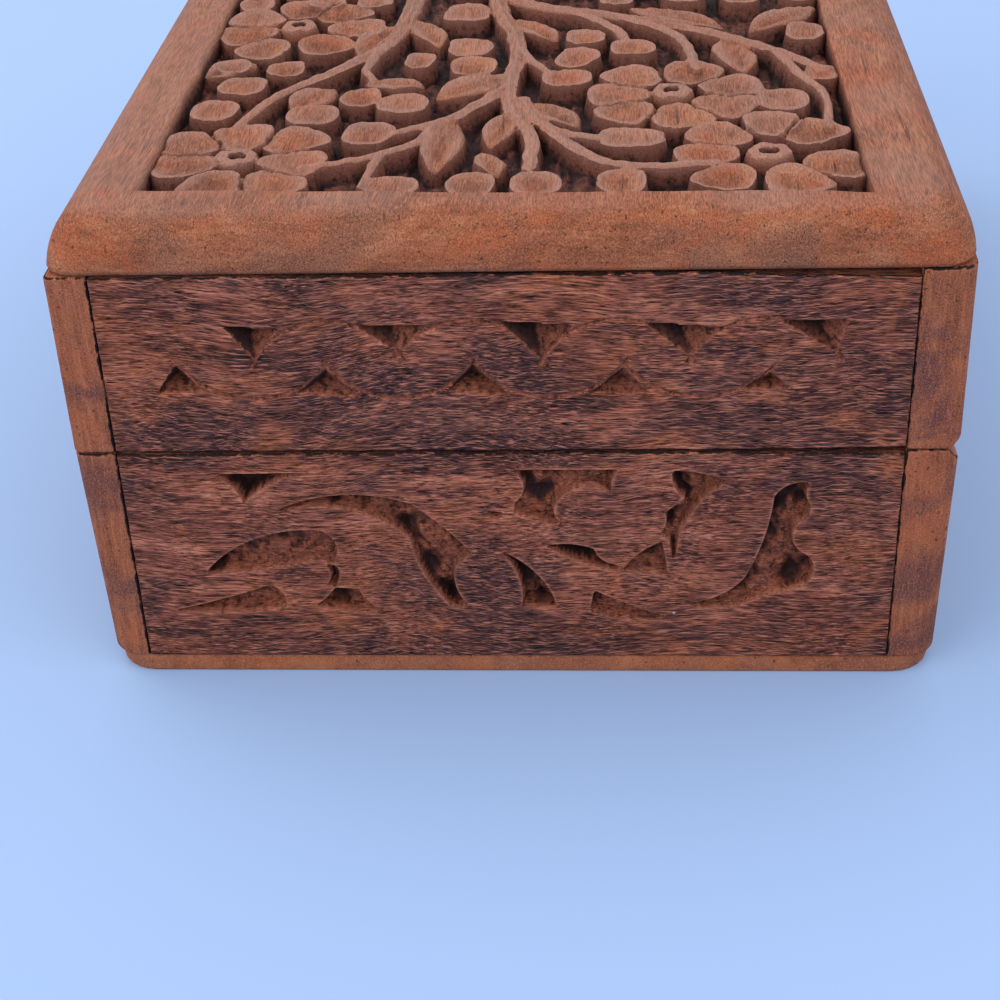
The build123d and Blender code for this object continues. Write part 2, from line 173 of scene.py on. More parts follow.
def wood(
    name, tones, stain, hollow_tone_and_shade, smudge, grain="x", face="z", stained=0.6, smudged=0.6, figure=None,
    bands=None, fibre=4.5, contrast=1.0, wander=2.5, pale=0.5, scratched=0.5, crossed=(1.35, 1.8),
    wear_and_highlight_tone=None, rough=0.72, relief=0.1,
):
    """Old hardwood. tones are its growth colours from dark to pale, and stain and smudge two patchy others.

    The grain is noise drawn out along one axis of the box, grain, and bent by wander millimetres: broad
    figure and narrow bands, fibres as long as fibre and as dark as contrast, pores, pale threads, fine
    cracks, and pale scratches that lie at the two angles crossed in the plane across the axis face, with a
    few white specks. Deep places take the colour of the hollows, their own colour darkened by painted shade,
    and go near black in the deepest; walls take it as painted shade. Raised edges and tops take their own
    paler tone, or the palest of the tones, for wear and a painted highlight together, and the seams take
    black dirt. relief is the depth of the bump.
    """
    material = bpy.data.materials.new(name)
    material.use_nodes = True
    tree = material.node_tree
    tree.nodes.clear()
    place = shader(tree, "TexCoord").outputs["Object"]
    drift = shader(tree, "TexNoise", {"Vector": place, "Scale": 32.0, "Detail": 1.0}).outputs["Color"]
    reach = (0.001 * wander,) * 3
    bent = shader(tree, "VectorMath", {0: drift, 1: reach, 2: place}, operation="MULTIPLY_ADD").outputs[0]

    def mark(kind):
        """A number that the mesh carries for its points or faces."""
        return shader(tree, "Attribute", attribute_name=kind).outputs["Fac"]

    def times(first, second, share=1.0):
        """The first colour multiplied by the second, or by a share of it."""
        return mixed(tree, share, first, second, "MULTIPLY")

    def above(value, low, high, share=1.0):
        """Nothing up to low, then rising straight to the share at high."""
        return ramp(tree, value, [(low, 0.0), (high, share)])

    def along(length, width):
        """Three sizes: the length along the grain and the width across it, both ways."""
        return tuple(length if axis == grain else width for axis in "xyz")

    def oblique(angle, length, width):
        """Long thin blotches that lie at an angle, turned about the axis face."""
        turn = tuple(angle if axis == face else 0 for axis in "xyz")
        aside = shader(tree, "Mapping", {"Vector": place, "Rotation": turn}).outputs[0]
        return sized_noise(tree, aside, (width, length, width), 2.0, 0.5)

    broad = sized_noise(tree, bent, figure or along(34, 4.6), 3.0, 0.6, 0.4)
    narrow = sized_noise(tree, bent, bands or along(16, 1.3), 3.0, 0.65, 0.3)
    fibres = sized_noise(tree, bent, along(fibre, 0.16), 3.0, 0.74)
    pores = sized_noise(tree, bent, along(1.6, 0.2), 1.0, 0.5)
    threads = sized_noise(tree, bent, along(1.3 * fibre, 0.06 * fibre), 2.0, 0.65)
    splits = sized_noise(tree, bent, along(13.0, 0.55), 2.0, 0.5)
    blotches = sized_noise(tree, place, (12, 9, 7), 4.0, 0.6, 0.8)
    clouds = sized_noise(tree, place, (9, 13, 8), 4.0, 0.62, 0.5)
    hairs = mixed(tree, 1.0, oblique(crossed[0], 3.0, 0.15), oblique(crossed[1], 3.6, 0.15), "LIGHTEN")
    crumbs = sized_noise(tree, place, (0.8, 0.7, 0.7), 3.0, 0.6)

    tone = mixed(tree, 0.45, broad, narrow)
    steps = np.linspace(0.36, 0.64, len(tones))
    colour = ramp(tree, tone, list(zip(steps, tones)))
    colour = mixed(tree, above(blotches, 0.5, 0.62, stained), colour, stain)
    colour = mixed(tree, above(clouds, 0.47, 0.6, smudged), colour, smudge)
    streak = ramp(tree, fibres, [(0.36, 1 - 0.8 * contrast), (0.48, 1 - 0.44 * contrast), (0.61, 1.0)])
    colour = times(colour, streak)
    colour = times(colour, ramp(tree, pores, [(0.29, 0.3), (0.37, 1.0)]), 0.8 * min(1.0, contrast))
    thread = tuple(1.15 * c for c in tones[-1])
    colour = mixed(tree, above(threads, 0.54, 0.66, pale), colour, thread)
    colour = times(colour, ramp(tree, splits, [(0.30, 0.25), (0.335, 1.0)]), 0.85)
    shown = times(above(hairs, 0.60, 0.70, scratched), above(clouds, 0.42, 0.5))
    colour = mixed(tree, shown, colour, tuple(min(1.0, 1.3 * c) for c in tones[-1]))

    # Wear and a painted highlight on raised edges, painted shade on steep walls and in deep places
    colour = mixed(tree, mark("wear_and_highlight"), colour, times(wear_and_highlight_tone or tones[-1], streak, 0.6))
    colour = mixed(tree, mark("steep_shade"), colour, times(hollow_tone_and_shade, streak))
    sunk_tone_and_shade = mark("sunk_tone_and_shade")
    deep = times(hollow_tone_and_shade, streak, 0.6)
    deep = times(deep, ramp(tree, crumbs, [(0.36, 0.06), (0.47, 0.62), (0.64, 1.0)]), 0.9)
    # Near black for the painted shade of the deepest places
    deep = mixed(tree, above(sunk_tone_and_shade, 0.55, 1.0, 0.93), deep, (0.016, 0.008, 0.009))
    colour = mixed(tree, above(sunk_tone_and_shade, 0.04, 0.55), colour, deep)

    # Specks of dust, and black dirt along the seams, ragged at its edge
    speck = shader(tree, "TexVoronoi", {"Vector": place, "Scale": 95.0})
    dust = ramp(tree, speck.outputs["Distance"], [(0.02, 0.8), (0.032, 0.0)])
    some = above(speck.outputs["Color"], 0.62, 0.64)
    colour = mixed(tree, times(dust, some), colour, (0.75, 0.7, 0.68))
    ragged = above(sized_noise(tree, place, (1.6, 1.6, 1.6), 3.0, 0.6), 0.3, 0.7, 0.5)
    dirt = mark("seam")
    for way, value in (("ADD", ragged), ("SUBTRACT", 0.28), ("SUBTRACT", mark("cap"))):
        dirt = shader(tree, "Math", {0: dirt, 1: value}, operation=way).outputs[0]
    colour = mixed(tree, above(dirt, 0.84, 0.93), colour, (0.012, 0.008, 0.008))

    grainy = mixed(tree, 0.4, fibres, pores)
    lumps = mixed(tree, above(sunk_tone_and_shade, 0.1, 0.5), grainy, crumbs)
    bump = shader(tree, "Bump", {"Strength": 0.8, "Distance": relief * 0.001, "Height": lumps})
    gloss = ramp(tree, fibres, [(0.3, min(1.0, rough + 0.12)), (0.7, rough - 0.08)])
    body = shader(tree, "BsdfPrincipled", {
        "Base Color": colour, "Roughness": gloss, "Normal": bump.outputs[0], "Specular IOR Level": 0.12,
    })
    shader(tree, "OutputMaterial", {"Surface": body.outputs[0]})
    return material


def finish(piece, material, body, node):
    """Gives a piece its material and body, and hides the node of the model that it stands for."""
    piece.data.materials.clear()
    piece.data.materials.append(material)
    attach(piece, body)
    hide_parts(node)


outline_count = (7, 60)
down_in, down = rounding(bottom_easing, 5)
insets = np.concatenate([down_in[::-1], down_in])
heights = np.concatenate([down[::-1], bottom_top - down])
size = np.array([bottom_half_length, bottom_half_width, bottom_radius])
rings = [level_ring(rounded_outline(*(size - i), *outline_count), z) for i, z in zip(insets, heights)]
points = np.concatenate(rings)
bottom_board = fill("bottom_board", points, *ring_faces(len(rings), len(rings[0])))
bottom_wood = wood(
    "bottom_wood", [(0.20, 0.062, 0.032), (0.30, 0.100, 0.048), (0.36, 0.130, 0.065)],
    stain=(0.36, 0.105, 0.04), hollow_tone_and_shade=(0.05, 0.02, 0.015), smudge=(0.15, 0.055, 0.045), smudged=0.4,
    contrast=0.45,
)
finish(bottom_board, bottom_wood, "base", "base_bottom_board")

# Carved base end panels
# Dark close-grained hardwood let in between the long walls, with scrolls sunk into the outside: the ground
# is cut away with upright walls and a rough, reddish floor, and the surface in between is left flat.

end_face, end_thickness = 76.2, 6.0
panel_low_y, panel_high_y = -45.8, 44.7
base_foot, base_rim = 2.6, 31.9
panel_cell = 0.25
scroll_depth = 2.0
edge_easing = 0.28
close_steps = edge_easing * np.array([0, 0.12, 0.4, 1.0])
dirt_width, end_dirt_width = 0.62, 0.6
# Each outline is a corner, then the point that the curve from it passes, or None where it runs straight
scroll_outlines = [
    [(-35.2, 29.2), None, (-22.5, 29.3), (-27.5, 28.0), (-31.6, 24.9), (-32.9, 27.5)],
    [
        (-30.0, 22.8), (-21.5, 26.1), (-12.0, 25.0), (-8.9, 22.3), (-5.0, 17.9), None, (-7.1, 15.8),
        (-7.2, 13.3), (-5.9, 10.6), (-7.2, 9.9), (-8.4, 10.9), (-10.7, 14.6), (-12.3, 20.0), (-19.4, 24.1),
    ],
    [
        (-37.5, 15.0), (-31.0, 20.0), (-22.8, 21.2), (-21.2, 19.2), (-21.8, 16.4), None, (-24.5, 16.8),
        (-30.5, 15.4),
    ],
    [(-42.0, 9.6), (-36.0, 11.2), (-29.6, 13.4), (-28.2, 12.0), (-28.0, 10.0), (-35.0, 9.0)],
    [
        (-24.6, 10.2), (-23.0, 11.5), (-21.8, 13.0), None, (-19.0, 12.8), (-17.6, 10.6), (-15.2, 9.1),
        (-19.8, 9.2),
    ],
    [
        (-0.6, 29.6), None, (12.4, 29.6), (11.6, 28.0), (11.8, 26.0), (8.6, 27.2), (5.6, 25.5), (4.8, 23.8),
        (6.4, 21.9), (3.6, 22.3), (0.0, 23.6), None, (0.2, 25.1), (1.3, 27.4),
    ],
    [
        (18.4, 29.4), (22.0, 29.0), (25.0, 27.8), (20.0, 22.0), (19.5, 14.0), (18.7, 16.9), (18.2, 19.8),
        None, (17.0, 20.7), (17.8, 22.1), (17.6, 23.6), None, (19.9, 25.6), (18.7, 27.3),
    ],
    [(17.4, 19.6), (14.8, 18.0), (12.6, 15.3), None, (18.2, 14.6), (17.9, 17.0)],
    [(3.5, 19.0), (6.0, 19.3), (9.4, 18.6), (10.4, 17.0), (12.3, 16.3), None, (12.3, 15.2), (8.0, 16.5)],
    [(-2.0, 18.5), (2.2, 15.4), (5.0, 10.0), None, (0.6, 9.9), (0.5, 14.0)],
    [
        (30.2, 25.8), (31.6, 27.3), (34.5, 27.6), (33.9, 26.1), (34.6, 24.6), None, (34.3, 22.9),
        (32.6, 20.6), (34.2, 17.8), (35.3, 15.2), (33.5, 12.8), None, (28.5, 11.2), (24.2, 9.8),
        (20.2, 10.7), (24.4, 11.9), (27.2, 14.4), (29.2, 19.8),
    ],
    [(9.3, 12.6), (13.4, 10.6), (19.0, 8.3), (13.5, 8.0), (8.8, 9.4), None],
    [(-23.4, 16.7), None, (-21.4, 16.2), (-21.1, 14.6), (-21.8, 12.9), None, (-22.9, 13.3), (-22.2, 15.0)],
    [(-3.4, 24.0), None, (-1.2, 23.8), (-1.6, 22.8), (-2.6, 23.0), None],
]
# Places where the cut goes deeper and takes painted shadow: along the wall, up, and how far it reaches
scroll_pits = [
    (-31.8, 28.0, 1.8), (-29.5, 27.8, 1.8), (-31.5, 26.0, 1.2), (-36.4, 15.5, 1.7), (-28.5, 19.8, 1.3),
    (-12.7, 21.3, 1.2), (-17.5, 24.6, 0.8), (-21.0, 24.6, 0.9), (-25.5, 24.2, 0.9), (-8.3, 11.4, 2.2),
    (-10.2, 15.6, 1.5), (-22.3, 11.4, 2.0), (-37.5, 10.0, 1.5), (-34.5, 10.4, 1.2), (0.9, 27.8, 1.3),
    (3.6, 25.6, 1.3), (11.4, 28.9, 1.2), (5.0, 28.8, 0.9), (0.2, 17.0, 1.6), (1.6, 14.0, 1.2),
    (3.4, 10.9, 1.6), (6.6, 17.8, 2.2), (9.0, 17.4, 1.4), (11.6, 15.9, 0.9), (19.0, 27.6, 1.1),
    (19.9, 25.4, 1.0), (18.0, 22.0, 0.9), (31.4, 27.0, 2.0), (30.0, 23.6, 1.1), (29.3, 20.4, 0.8),
    (32.4, 13.4, 1.6), (34.0, 15.6, 1.4), (25.8, 12.3, 1.4), (10.3, 11.7, 1.0), (16.5, 18.0, 0.8),
    (33.6, 24.4, 0.9),
]


def bent_edge(start, bend, end, count=14):
    """Points on the circle through three points, from the first up to but not including the last.

    The centre is equally far from all three, so it solves two straight-line equations.
    """
    start, end = np.array(start, float), np.array(end, float)
    share = np.arange(count)[:, None] / count
    if bend is None:
        return start + (end - start) * share
    bend = np.array(bend, float)
    sides = 2 * np.array([bend - start, end - start])
    if abs(np.linalg.det(sides)) < 1e-6:
        return start + (end - start) * share
    centre = np.linalg.solve(sides, [bend @ bend - start @ start, end @ end - start @ start])
    first, middle, last = (math.atan2(*(p - centre)[::-1]) for p in (start, bend, end))
    sweep = (last - first) % (2 * math.pi)
    if (middle - first) % (2 * math.pi) > sweep:
        sweep -= 2 * math.pi
    turns = first + sweep * share[:, 0]
    return centre + np.linalg.norm(start - centre) * np.stack([np.cos(turns), np.sin(turns)], -1)


def nearest_on(line, u, v):
    """Where a line of straight edges lies nearest to each point: how far off, the step there, and its share
    of the way along the line, edge by edge.

    On each edge it is the point's place along the edge over the edge's length, kept between 0 and 1.
    """
    nearest, step_u, step_v, share = np.full(u.shape, 1e9), *np.zeros((3, *u.shape))
    for i, ((au, av), (bu, bv)) in enumerate(zip(line[:-1], line[1:])):
        eu, ev = bu - au, bv - av
        along = np.clip(((u - au) * eu + (v - av) * ev) / (eu * eu + ev * ev + 1e-12), 0, 1)
        du, dv = au + eu * along - u, av + ev * along - v
        far = np.hypot(du, dv)
        closer = far < nearest
        found = ((far, nearest), (du, step_u), (dv, step_v), ((i + along) / (len(line) - 1), share))
        nearest, step_u, step_v, share = (np.where(closer, new, old) for new, old in found)
    return nearest, step_u, step_v, share


def outline_distance(u, v, corners):
    """How far each point lies outside a closed outline, negative inside, and the step that takes it there.

    A point is inside if a line drawn sideways from it crosses the outline an odd number of times.
    """
    line = np.concatenate([corners, corners[:1]])
    nearest, step_u, step_v, _ = nearest_on(line, u, v)
    inside = np.zeros(u.shape, bool)
    for (au, av), (bu, bv) in zip(line[:-1], line[1:]):
        if abs(bv - av) > 1e-12:
            inside ^= ((av > v) != (bv > v)) & (u < au + (bu - au) * (v - av) / (bv - av))
    return np.where(inside, -nearest, nearest), step_u, step_v


def scroll_carving(u, v, seed, mirrored=False):
    """How deep the scrolls are cut at each point of a wall, how far its points slide on to their rims, and
    their painted shade.

    Inside an outline the floor drops to its depth within four tenths of a millimetre, and goes deeper next
    to the rim and in the pits, each a bell round its place, with the chops of the chisel. Points within half
    a cell of the rim move on to it, so the walls come out clean. The mark is painted shade: darker where the
    nearest rim lies up or to the left, out of the light, and in the pits.
    """
    side = -1 if mirrored else 1
    depth, slide_u, slide_v, mark = np.zeros((4, *u.shape))
    for outline in scroll_outlines:
        corners = np.concatenate([
            bent_edge(outline[i], outline[i + 1], outline[(i + 2) % len(outline)])
            for i in range(0, len(outline), 2)
        ])
        low, high = corners.min(axis=0) - 1, corners.max(axis=0) + 1
        window = (side * u > low[0]) & (side * u < high[0]) & (v > low[1]) & (v < high[1])
        wu, wv = side * u[window], v[window]
        distance, step_u, step_v = outline_distance(wu, wv, corners)
        rim = np.abs(distance) < 0.55 * panel_cell
        slide_u[window] = np.where(rim, side * step_u, slide_u[window])
        slide_v[window] = np.where(rim, step_v, slide_v[window])
        chops = 0.35 * noise(wu + 0.3 * wv, wv, 0.62, 1.5, seed) + 0.2 * noise(wu, wv, 0.8, 0.6, seed + 2)
        chops = (chops + 0.4 * noise(wu, wv, 2.6, 2.0, seed + 1)) * np.clip(-distance / 0.7, 0, 1)
        pit = sum(np.exp(-((wu - pu) ** 2 + (wv - pv) ** 2) / reach**2) for pu, pv, reach in scroll_pits)
        floor = scroll_depth - 0.35 + chops + 0.3 * np.exp(distance / 0.9) + 1.1 * np.minimum(pit, 1.2)
        inside = (distance < 0) & ~rim
        wall = np.clip(-distance / 0.42, 0, 1)
        depth[window] = np.maximum(depth[window], np.where(inside, np.clip(floor, 0.5, 3.9) * wall, 0))
        shadow = (0.6 * step_v - 0.8 * step_u * side) / np.maximum(np.abs(distance), 1e-6)
        dark = 0.5 + 0.55 * np.exp(distance / 1.1) * np.clip(shadow, -0.5, 1) + 0.7 * pit + 0.75 * chops
        mark[window] = np.maximum(mark[window], np.where(inside, np.clip(dark, 0.2, 1), 0))
    return depth, slide_u, slide_v, mark


def blurred(values, reach):
    """Each value of a grid averaged with its neighbours up to a reach away, first down and then across it,
    as the difference of two running sums."""
    window = 2 * reach + 1
    for _ in range(2):
        sums = np.cumsum(np.pad(values, ((reach + 1, reach), (0, 0)), mode="edge"), axis=0)
        values = ((sums[window:] - sums[:-window]) / window).T
    return values


def halved(squares, height):
    """Each square as two triangles, divided along its more level diagonal."""
    flat = height.ravel()
    steps = [np.abs(flat[squares[:, i]] - flat[squares[:, i + 2]]) for i in (0, 1)]
    first = (steps[0] <= steps[1])[:, None]
    return np.where(first, squares[:, [0, 1, 2, 0, 2, 3]], squares[:, [0, 1, 3, 1, 2, 3]]).reshape(-1, 3)


def eased(end):
    """How far an eased edge, a quarter circle, lies in at each distance from the end."""
    return edge_easing - np.sqrt(np.maximum(0, edge_easing**2 - np.maximum(0, edge_easing - end) ** 2))


def standing_board(name, outline, outward, seams, heights, depth, slide_along, slide_up, mark):
    """A board on edge: its plan outline repeated at each height, with its edges eased top and bottom.

    outline and outward are the plan points, for all heights or for each, and the directions out of them.
    depth, one row a height, moves each point in, and the slides move it along the face and up. mark is the
    painted shade of a point in its carving. seams, one for each plan point, is 1 at a joint and -1 inside the
    box.
    """
    rows, around = len(heights), len(outward)
    end = np.minimum(heights - heights[0], heights[-1] - heights)
    inset = (eased(end)[:, None] + depth)[..., None]
    along = np.stack([-outward[:, 1], outward[:, 0]], -1)
    plan = outline - outward[None] * inset + along[None] * slide_along[..., None]
    up = heights[:, None] + slide_up
    points = np.concatenate([plan, up[..., None]], -1).reshape(-1, 3)
    skin, foot, top = ring_faces(rows, around)
    # Wear and a painted highlight where the face stands above its neighbours, along the rims of the carving
    wear_and_highlight = np.clip(0.9 * (blurred(depth, 2) - depth) - 0.12, 0, 0.75)
    seam = np.maximum(np.clip(1.15 - end / dirt_width, 0, 1)[:, None], seams) * (seams >= 0)
    marks = {"sunk_tone_and_shade": mark, "wear_and_highlight": wear_and_highlight, "seam": seam}
    return fill(name, points, halved(skin, depth), foot, top, marks=marks)


def level_steps(low, high, cell):
    """Heights from low to high a cell apart, with closer ones over the eased edges."""
    count = int(round((high - low - 2 * edge_easing) / cell))
    level = np.linspace(low + edge_easing, high - edge_easing, count + 1)[1:-1]
    return np.concatenate([low + close_steps, level, (high - close_steps)[::-1]])


def end_panel_plan(side):
    """The plan of an end panel, anticlockwise: its outside closely divided, its two ends and inside not."""
    width = panel_high_y - panel_low_y
    close = np.array([0, 0.04, 0.14])
    across = np.concatenate([close, np.linspace(0.3, width - 0.3, 362), width - close[::-1]])
    end = np.minimum(across, across[::-1])
    face = np.stack([end_face - eased(end), panel_low_y + across], -1)
    inside_x = end_face - end_thickness
    inner = np.array([[inside_x, panel_high_y], [inside_x, panel_low_y]])
    outward = np.concatenate([np.tile([1.0, 0.0], (len(face), 1)), [[-0.7, 0.7], [-0.7, -0.7]]])
    plan = np.concatenate([face, inner])
    seams = np.concatenate([np.clip(1 - end / end_dirt_width, 0, 1), [-1, -1]])
    return plan * side, outward * side, seams, np.arange(len(face))


# The panels have shrunk a little away from their neighbours, and their outermost rows have moved with them
shrinking = 1.2
heights = level_steps(base_foot, base_rim, panel_cell)
panel_wood = wood(
    "panel_wood", [(0.045, 0.017, 0.019), (0.12, 0.036, 0.028), (0.28, 0.084, 0.054), (0.52, 0.190, 0.122)],
    stain=(0.38, 0.110, 0.048), hollow_tone_and_shade=(0.33, 0.098, 0.056), smudge=(0.045, 0.020, 0.026),
    grain="y", face="x", smudged=0.82, fibre=2.2, contrast=1.25, wander=6.0, pale=0.55, scratched=0.3,
    crossed=(0.33, -0.28), relief=0.28,
)
for side, name in ((1, "right"), (-1, "left")):
    plan, outward, seams, face = end_panel_plan(side)
    u, v = np.meshgrid(plan[face, 1] * side, heights)
    carving = np.zeros((4, len(heights), len(plan)))
    carving[:, :, face] = scroll_carving(u, v, 11 + side)
    y = plan[:, 1]
    shrunk = 0.12 + 0.4 * np.clip((y * side - 26) / 20, 0, 1) + 0.10 * noise(y, 0 * y, 3.4, 1, 15)
    carving[2] -= shrunk * np.clip(1 - (base_rim - heights) / shrinking, 0, 1)[:, None]
    panel = standing_board(f"base_{name}_carving", plan, outward, seams, heights, *carving)
    finish(panel, panel_wood, "base", f"base_{name}_panel")

# Front wall of the base
# A reddish hardwood board glued over the ends of the end panels, so that its end grain shows at the rounded
# corners, which are sharper at the seam than at the foot. It has the scrolls twice, the right set mirrored.

front_face, back_face = -50.8, 50.8
front_thickness = 4.9
wall_cell = 0.3
foot_radius, seam_radius = 4.0, 1.3
scroll_middle = 37.55


def long_wall_plan(corner_radius):
    """The plan of a long wall at the front: its outside, with two rounded corners, then its inside.

    The corners are quarter circles about centres one radius in; the straights between are divided evenly.
    """
    turns = np.linspace(0, np.pi / 2, 13)
    reach = end_face - corner_radius
    level = front_face + corner_radius
    left = np.stack([-reach - corner_radius * np.cos(turns), level - corner_radius * np.sin(turns)], -1)
    x = np.linspace(-reach, reach, int(2 * end_face / wall_cell))[1:-1]
    straight = np.stack([x, np.full(len(x), front_face)], -1)
    right = left[::-1] * [-1, 1]
    end_y = front_face + front_thickness
    ends = end_y - np.array([0, 0.03, 0.1, 0.28, 0.65])
    end_x = end_face - edge_easing * np.array([1, 0.55, 0.2, 0, 0])
    right_end = np.stack([end_x, ends], -1)[::-1]
    left_end = np.stack([-end_x, ends], -1)
    x = np.linspace(end_face - 6, 6 - end_face, 24)
    inside = np.stack([x, np.full(len(x), end_y)], -1)
    plan = np.concatenate([left, straight, right, right_end, inside, left_end])
    outward = np.concatenate([
        np.stack([-np.cos(turns), -np.sin(turns)], -1), np.tile([0.0, -1.0], (len(straight), 1)),
        np.stack([np.cos(turns), -np.sin(turns)], -1)[::-1], np.tile([1.0, 0.0], (5, 1)),
        np.tile([0.0, 1.0], (len(x), 1)), np.tile([-1.0, 0.0], (5, 1)),
    ])
    seams = np.where(outward[:, 1] > 0.5, -1, np.clip((plan[:, 1] - end_y + dirt_width) / 0.5, 0, 1))
    return plan, outward, seams, len(left) + np.arange(len(straight))


wall_wood = wood(
    "wall_wood", [(0.17, 0.050, 0.028), (0.29, 0.090, 0.045), (0.39, 0.138, 0.072)],
    stain=(0.37, 0.105, 0.045), hollow_tone_and_shade=(0.30, 0.095, 0.057), smudge=(0.10, 0.040, 0.042), smudged=0.75,
    face="x", figure=(34, 0.9, 10), bands=(16, 0.36, 5), fibre=3.5, contrast=0.6, scratched=0.2,
    crossed=(1.3, 1.8), relief=0.12,
)
foot_plan, outward, seams, face = long_wall_plan(foot_radius)
rim_plan = long_wall_plan(seam_radius)[0]
heights = level_steps(base_foot, base_rim, wall_cell)
rise = (heights - base_foot) / (base_rim - base_foot)
plan = foot_plan + (rim_plan - foot_plan) * rise[:, None, None]
u, v = np.meshgrid(foot_plan[face, 0], heights)
carving = np.zeros((4, len(heights), len(outward)))
left_set = scroll_carving(u + scroll_middle, v, 31)
right_set = scroll_carving(u - scroll_middle, v, 32, mirrored=True)
carving[:, :, face] = np.where(u < 0, left_set, right_set)
front_wall = standing_board("base_front_carving", plan, outward, seams, heights, *carving)
finish(front_wall, wall_wood, "base", "base_front_wall")

# Lid end panels
# The same dark hardwood above the seam. Two rows of triangular chips are cut with the tip of a knife:
# upper ones point down and lower ones up between them, linked by a wave of thin incised arcs.

lid_rim, lid_top = 32.1, 54.5
scratch_depth, scratch_width = 0.28, 0.18
upper_chips = [
    [(-31.5, 48.4), (-25.0, 48.0), (-28.2, 44.2)], [(-17.0, 48.5), (-8.5, 48.2), (-12.0, 45.0)],
    [(-1.0, 48.8), (7.5, 48.2), (4.0, 43.8)], [(15.0, 48.5), (24.0, 47.8), (20.3, 44.2)],
    [(30.0, 48.5), (37.3, 48.5), (36.3, 44.5)],
]
lower_chips = [
    [(-40.0, 39.8), (-34.5, 40.2), (-37.3, 43.7)], [(-24.0, 39.8), (-16.5, 39.2), (-20.3, 43.1)],
    [(-7.0, 40.0), (0.3, 39.3), (-3.8, 43.5)], [(9.0, 39.5), (16.0, 39.5), (12.9, 43.0)],
    [(26.0, 40.0), (31.5, 40.0), (29.2, 42.2)],
]


def chip_depth(u, v, corners, deepest, depth):
    """A three-sided pit: full depth at its deepest point, falling straight to nothing at each side.

    Its mark, painted shade, is dark on the sides at its left, which lie out of the light, and darker towards
    its deepest point.
    """
    share, mark = np.full(u.shape, -1e9), np.zeros(u.shape)
    corners = np.array(corners)
    for (au, av), (bu, bv) in zip(corners, np.roll(corners, -1, axis=0)):
        across = np.array([bv - av, au - bu]) / np.hypot(bu - au, bv - av)
        reach = across @ (np.array([au, av]) - deepest)
        further = ((u - deepest[0]) * across[0] + (v - deepest[1]) * across[1]) / reach
        shaded = 0.62 + 0.6 * (np.sign(reach) * (across @ [-0.95, 0.3]))
        mark = np.where(further > share, shaded, mark)
        share = np.maximum(share, further)
    mark = np.where(share < 1, np.clip(mark + 0.35 * (1 - share), 0.2, 1), 0)
    return depth * np.clip(1 - share, 0, 1), mark


def incised(u, v, start, bend, end):
    """A thin scratch along an arc: its depth falls off as a bell with the distance from the arc."""
    nearest = nearest_on(np.concatenate([bent_edge(start, bend, end, 24), [end]]), u, v)[0]
    return scratch_depth * np.exp(-((nearest / scratch_width) ** 2))


def chip_carving(u, v, middle, seed):
    """All the chips and scratches of one stretch of wall, round the given middle, and their painted shade."""
    depth, mark = np.zeros((2, *u.shape))
    window = (np.abs(u - middle) < 46) & (v > 37) & (v < 51)
    wu, wv = u[window] - middle, v[window]
    cut, dark = np.zeros((2, *wu.shape))
    for i, corners in enumerate(upper_chips + lower_chips):
        upper = i < len(upper_chips)
        point = np.mean(corners, axis=0) + ([-0.7, 0.8] if upper else [-0.5, 0.2])
        full = (3.6 if upper else 2.6) + 0.4 * math.sin(3.7 * i + seed)
        deep, shade = chip_depth(wu, wv, corners, point, full)
        cut, dark = np.maximum(cut, deep), np.maximum(dark, shade)
    for chips, bend, aside, up in ((upper_chips, 48.9, 0.5, -0.8), (lower_chips, 39.2, 0.4, 0.9)):
        points = [corners[2] for corners in chips]
        for (u0, v0), (u1, v1) in zip(points[:-1], points[1:]):
            arc = (u0 - aside, v0 + up), (0.5 * (u0 + u1), bend), (u1 + aside, v1 + up)
            cut = np.maximum(cut, incised(wu, wv, *arc))
    mark[window] = np.maximum(dark, np.clip(cut / 0.25, 0, 1) * 0.7)
    depth[window] = np.maximum(cut + 0.12 * (dark > 0) * noise(wu, wv, 0.8, 0.9, 40 + seed), 0)
    return depth, mark


heights = level_steps(lid_rim, lid_top, panel_cell)
for side, name in ((1, "right"), (-1, "left")):
    plan, outward, seams, face = end_panel_plan(side)
    u, v = np.meshgrid(plan[face, 1] * side, heights)
    carving = np.zeros((4, len(heights), len(plan)))
    carving[0][:, face], carving[3][:, face] = chip_carving(u, v, 0.0, side)
    y = plan[:, 1]
    rough_edge = 0.12 * noise(y, 0 * y, 3.0, 1, 16)
    shrunk = 0.12 + rough_edge + 0.75 * np.clip((y * side - 20) / 25, 0, 1)
    carving[2] -= shrunk * np.clip(1 - (lid_top - heights) / shrinking, 0, 1)[:, None]
    raised = 0.10 + rough_edge + 0.25 * np.clip((y * side - 30) / 14, 0, 1)
    carving[2] += raised * np.clip(1 - (heights - lid_rim) / shrinking, 0, 1)[:, None]
    panel = standing_board(f"lid_{name}_carving", plan, outward, seams, heights, *carving)
    finish(panel, panel_wood, "lid", f"lid_{name}_panel")

# Front wall of the lid
# The same board as the front wall of the base, above the seam. It has the chips along its length.

lid_seam_radius, lid_top_radius = 1.0, 2.2
plan, outward, seams, face = long_wall_plan(lid_seam_radius)
heights = level_steps(lid_rim, lid_top, wall_cell)
u, v = np.meshgrid(plan[face, 0], heights)
carving = np.zeros((4, len(heights), len(plan)))
carving[::3, :, face] = np.maximum(chip_carving(u, v, -36.0, 5), chip_carving(u, v, 39.0, 6))
front_wall = standing_board("lid_front_carving", plan, outward, seams, heights, *carving)
finish(front_wall, wall_wood, "lid", "lid_front_wall")

# Lid board
# One thick board of lighter tan hardwood, its top edges rounded over by hand. A panel is sunk into its top
# for the relief, and the board's own surface stays as a border round it, a little wavy from scraping.

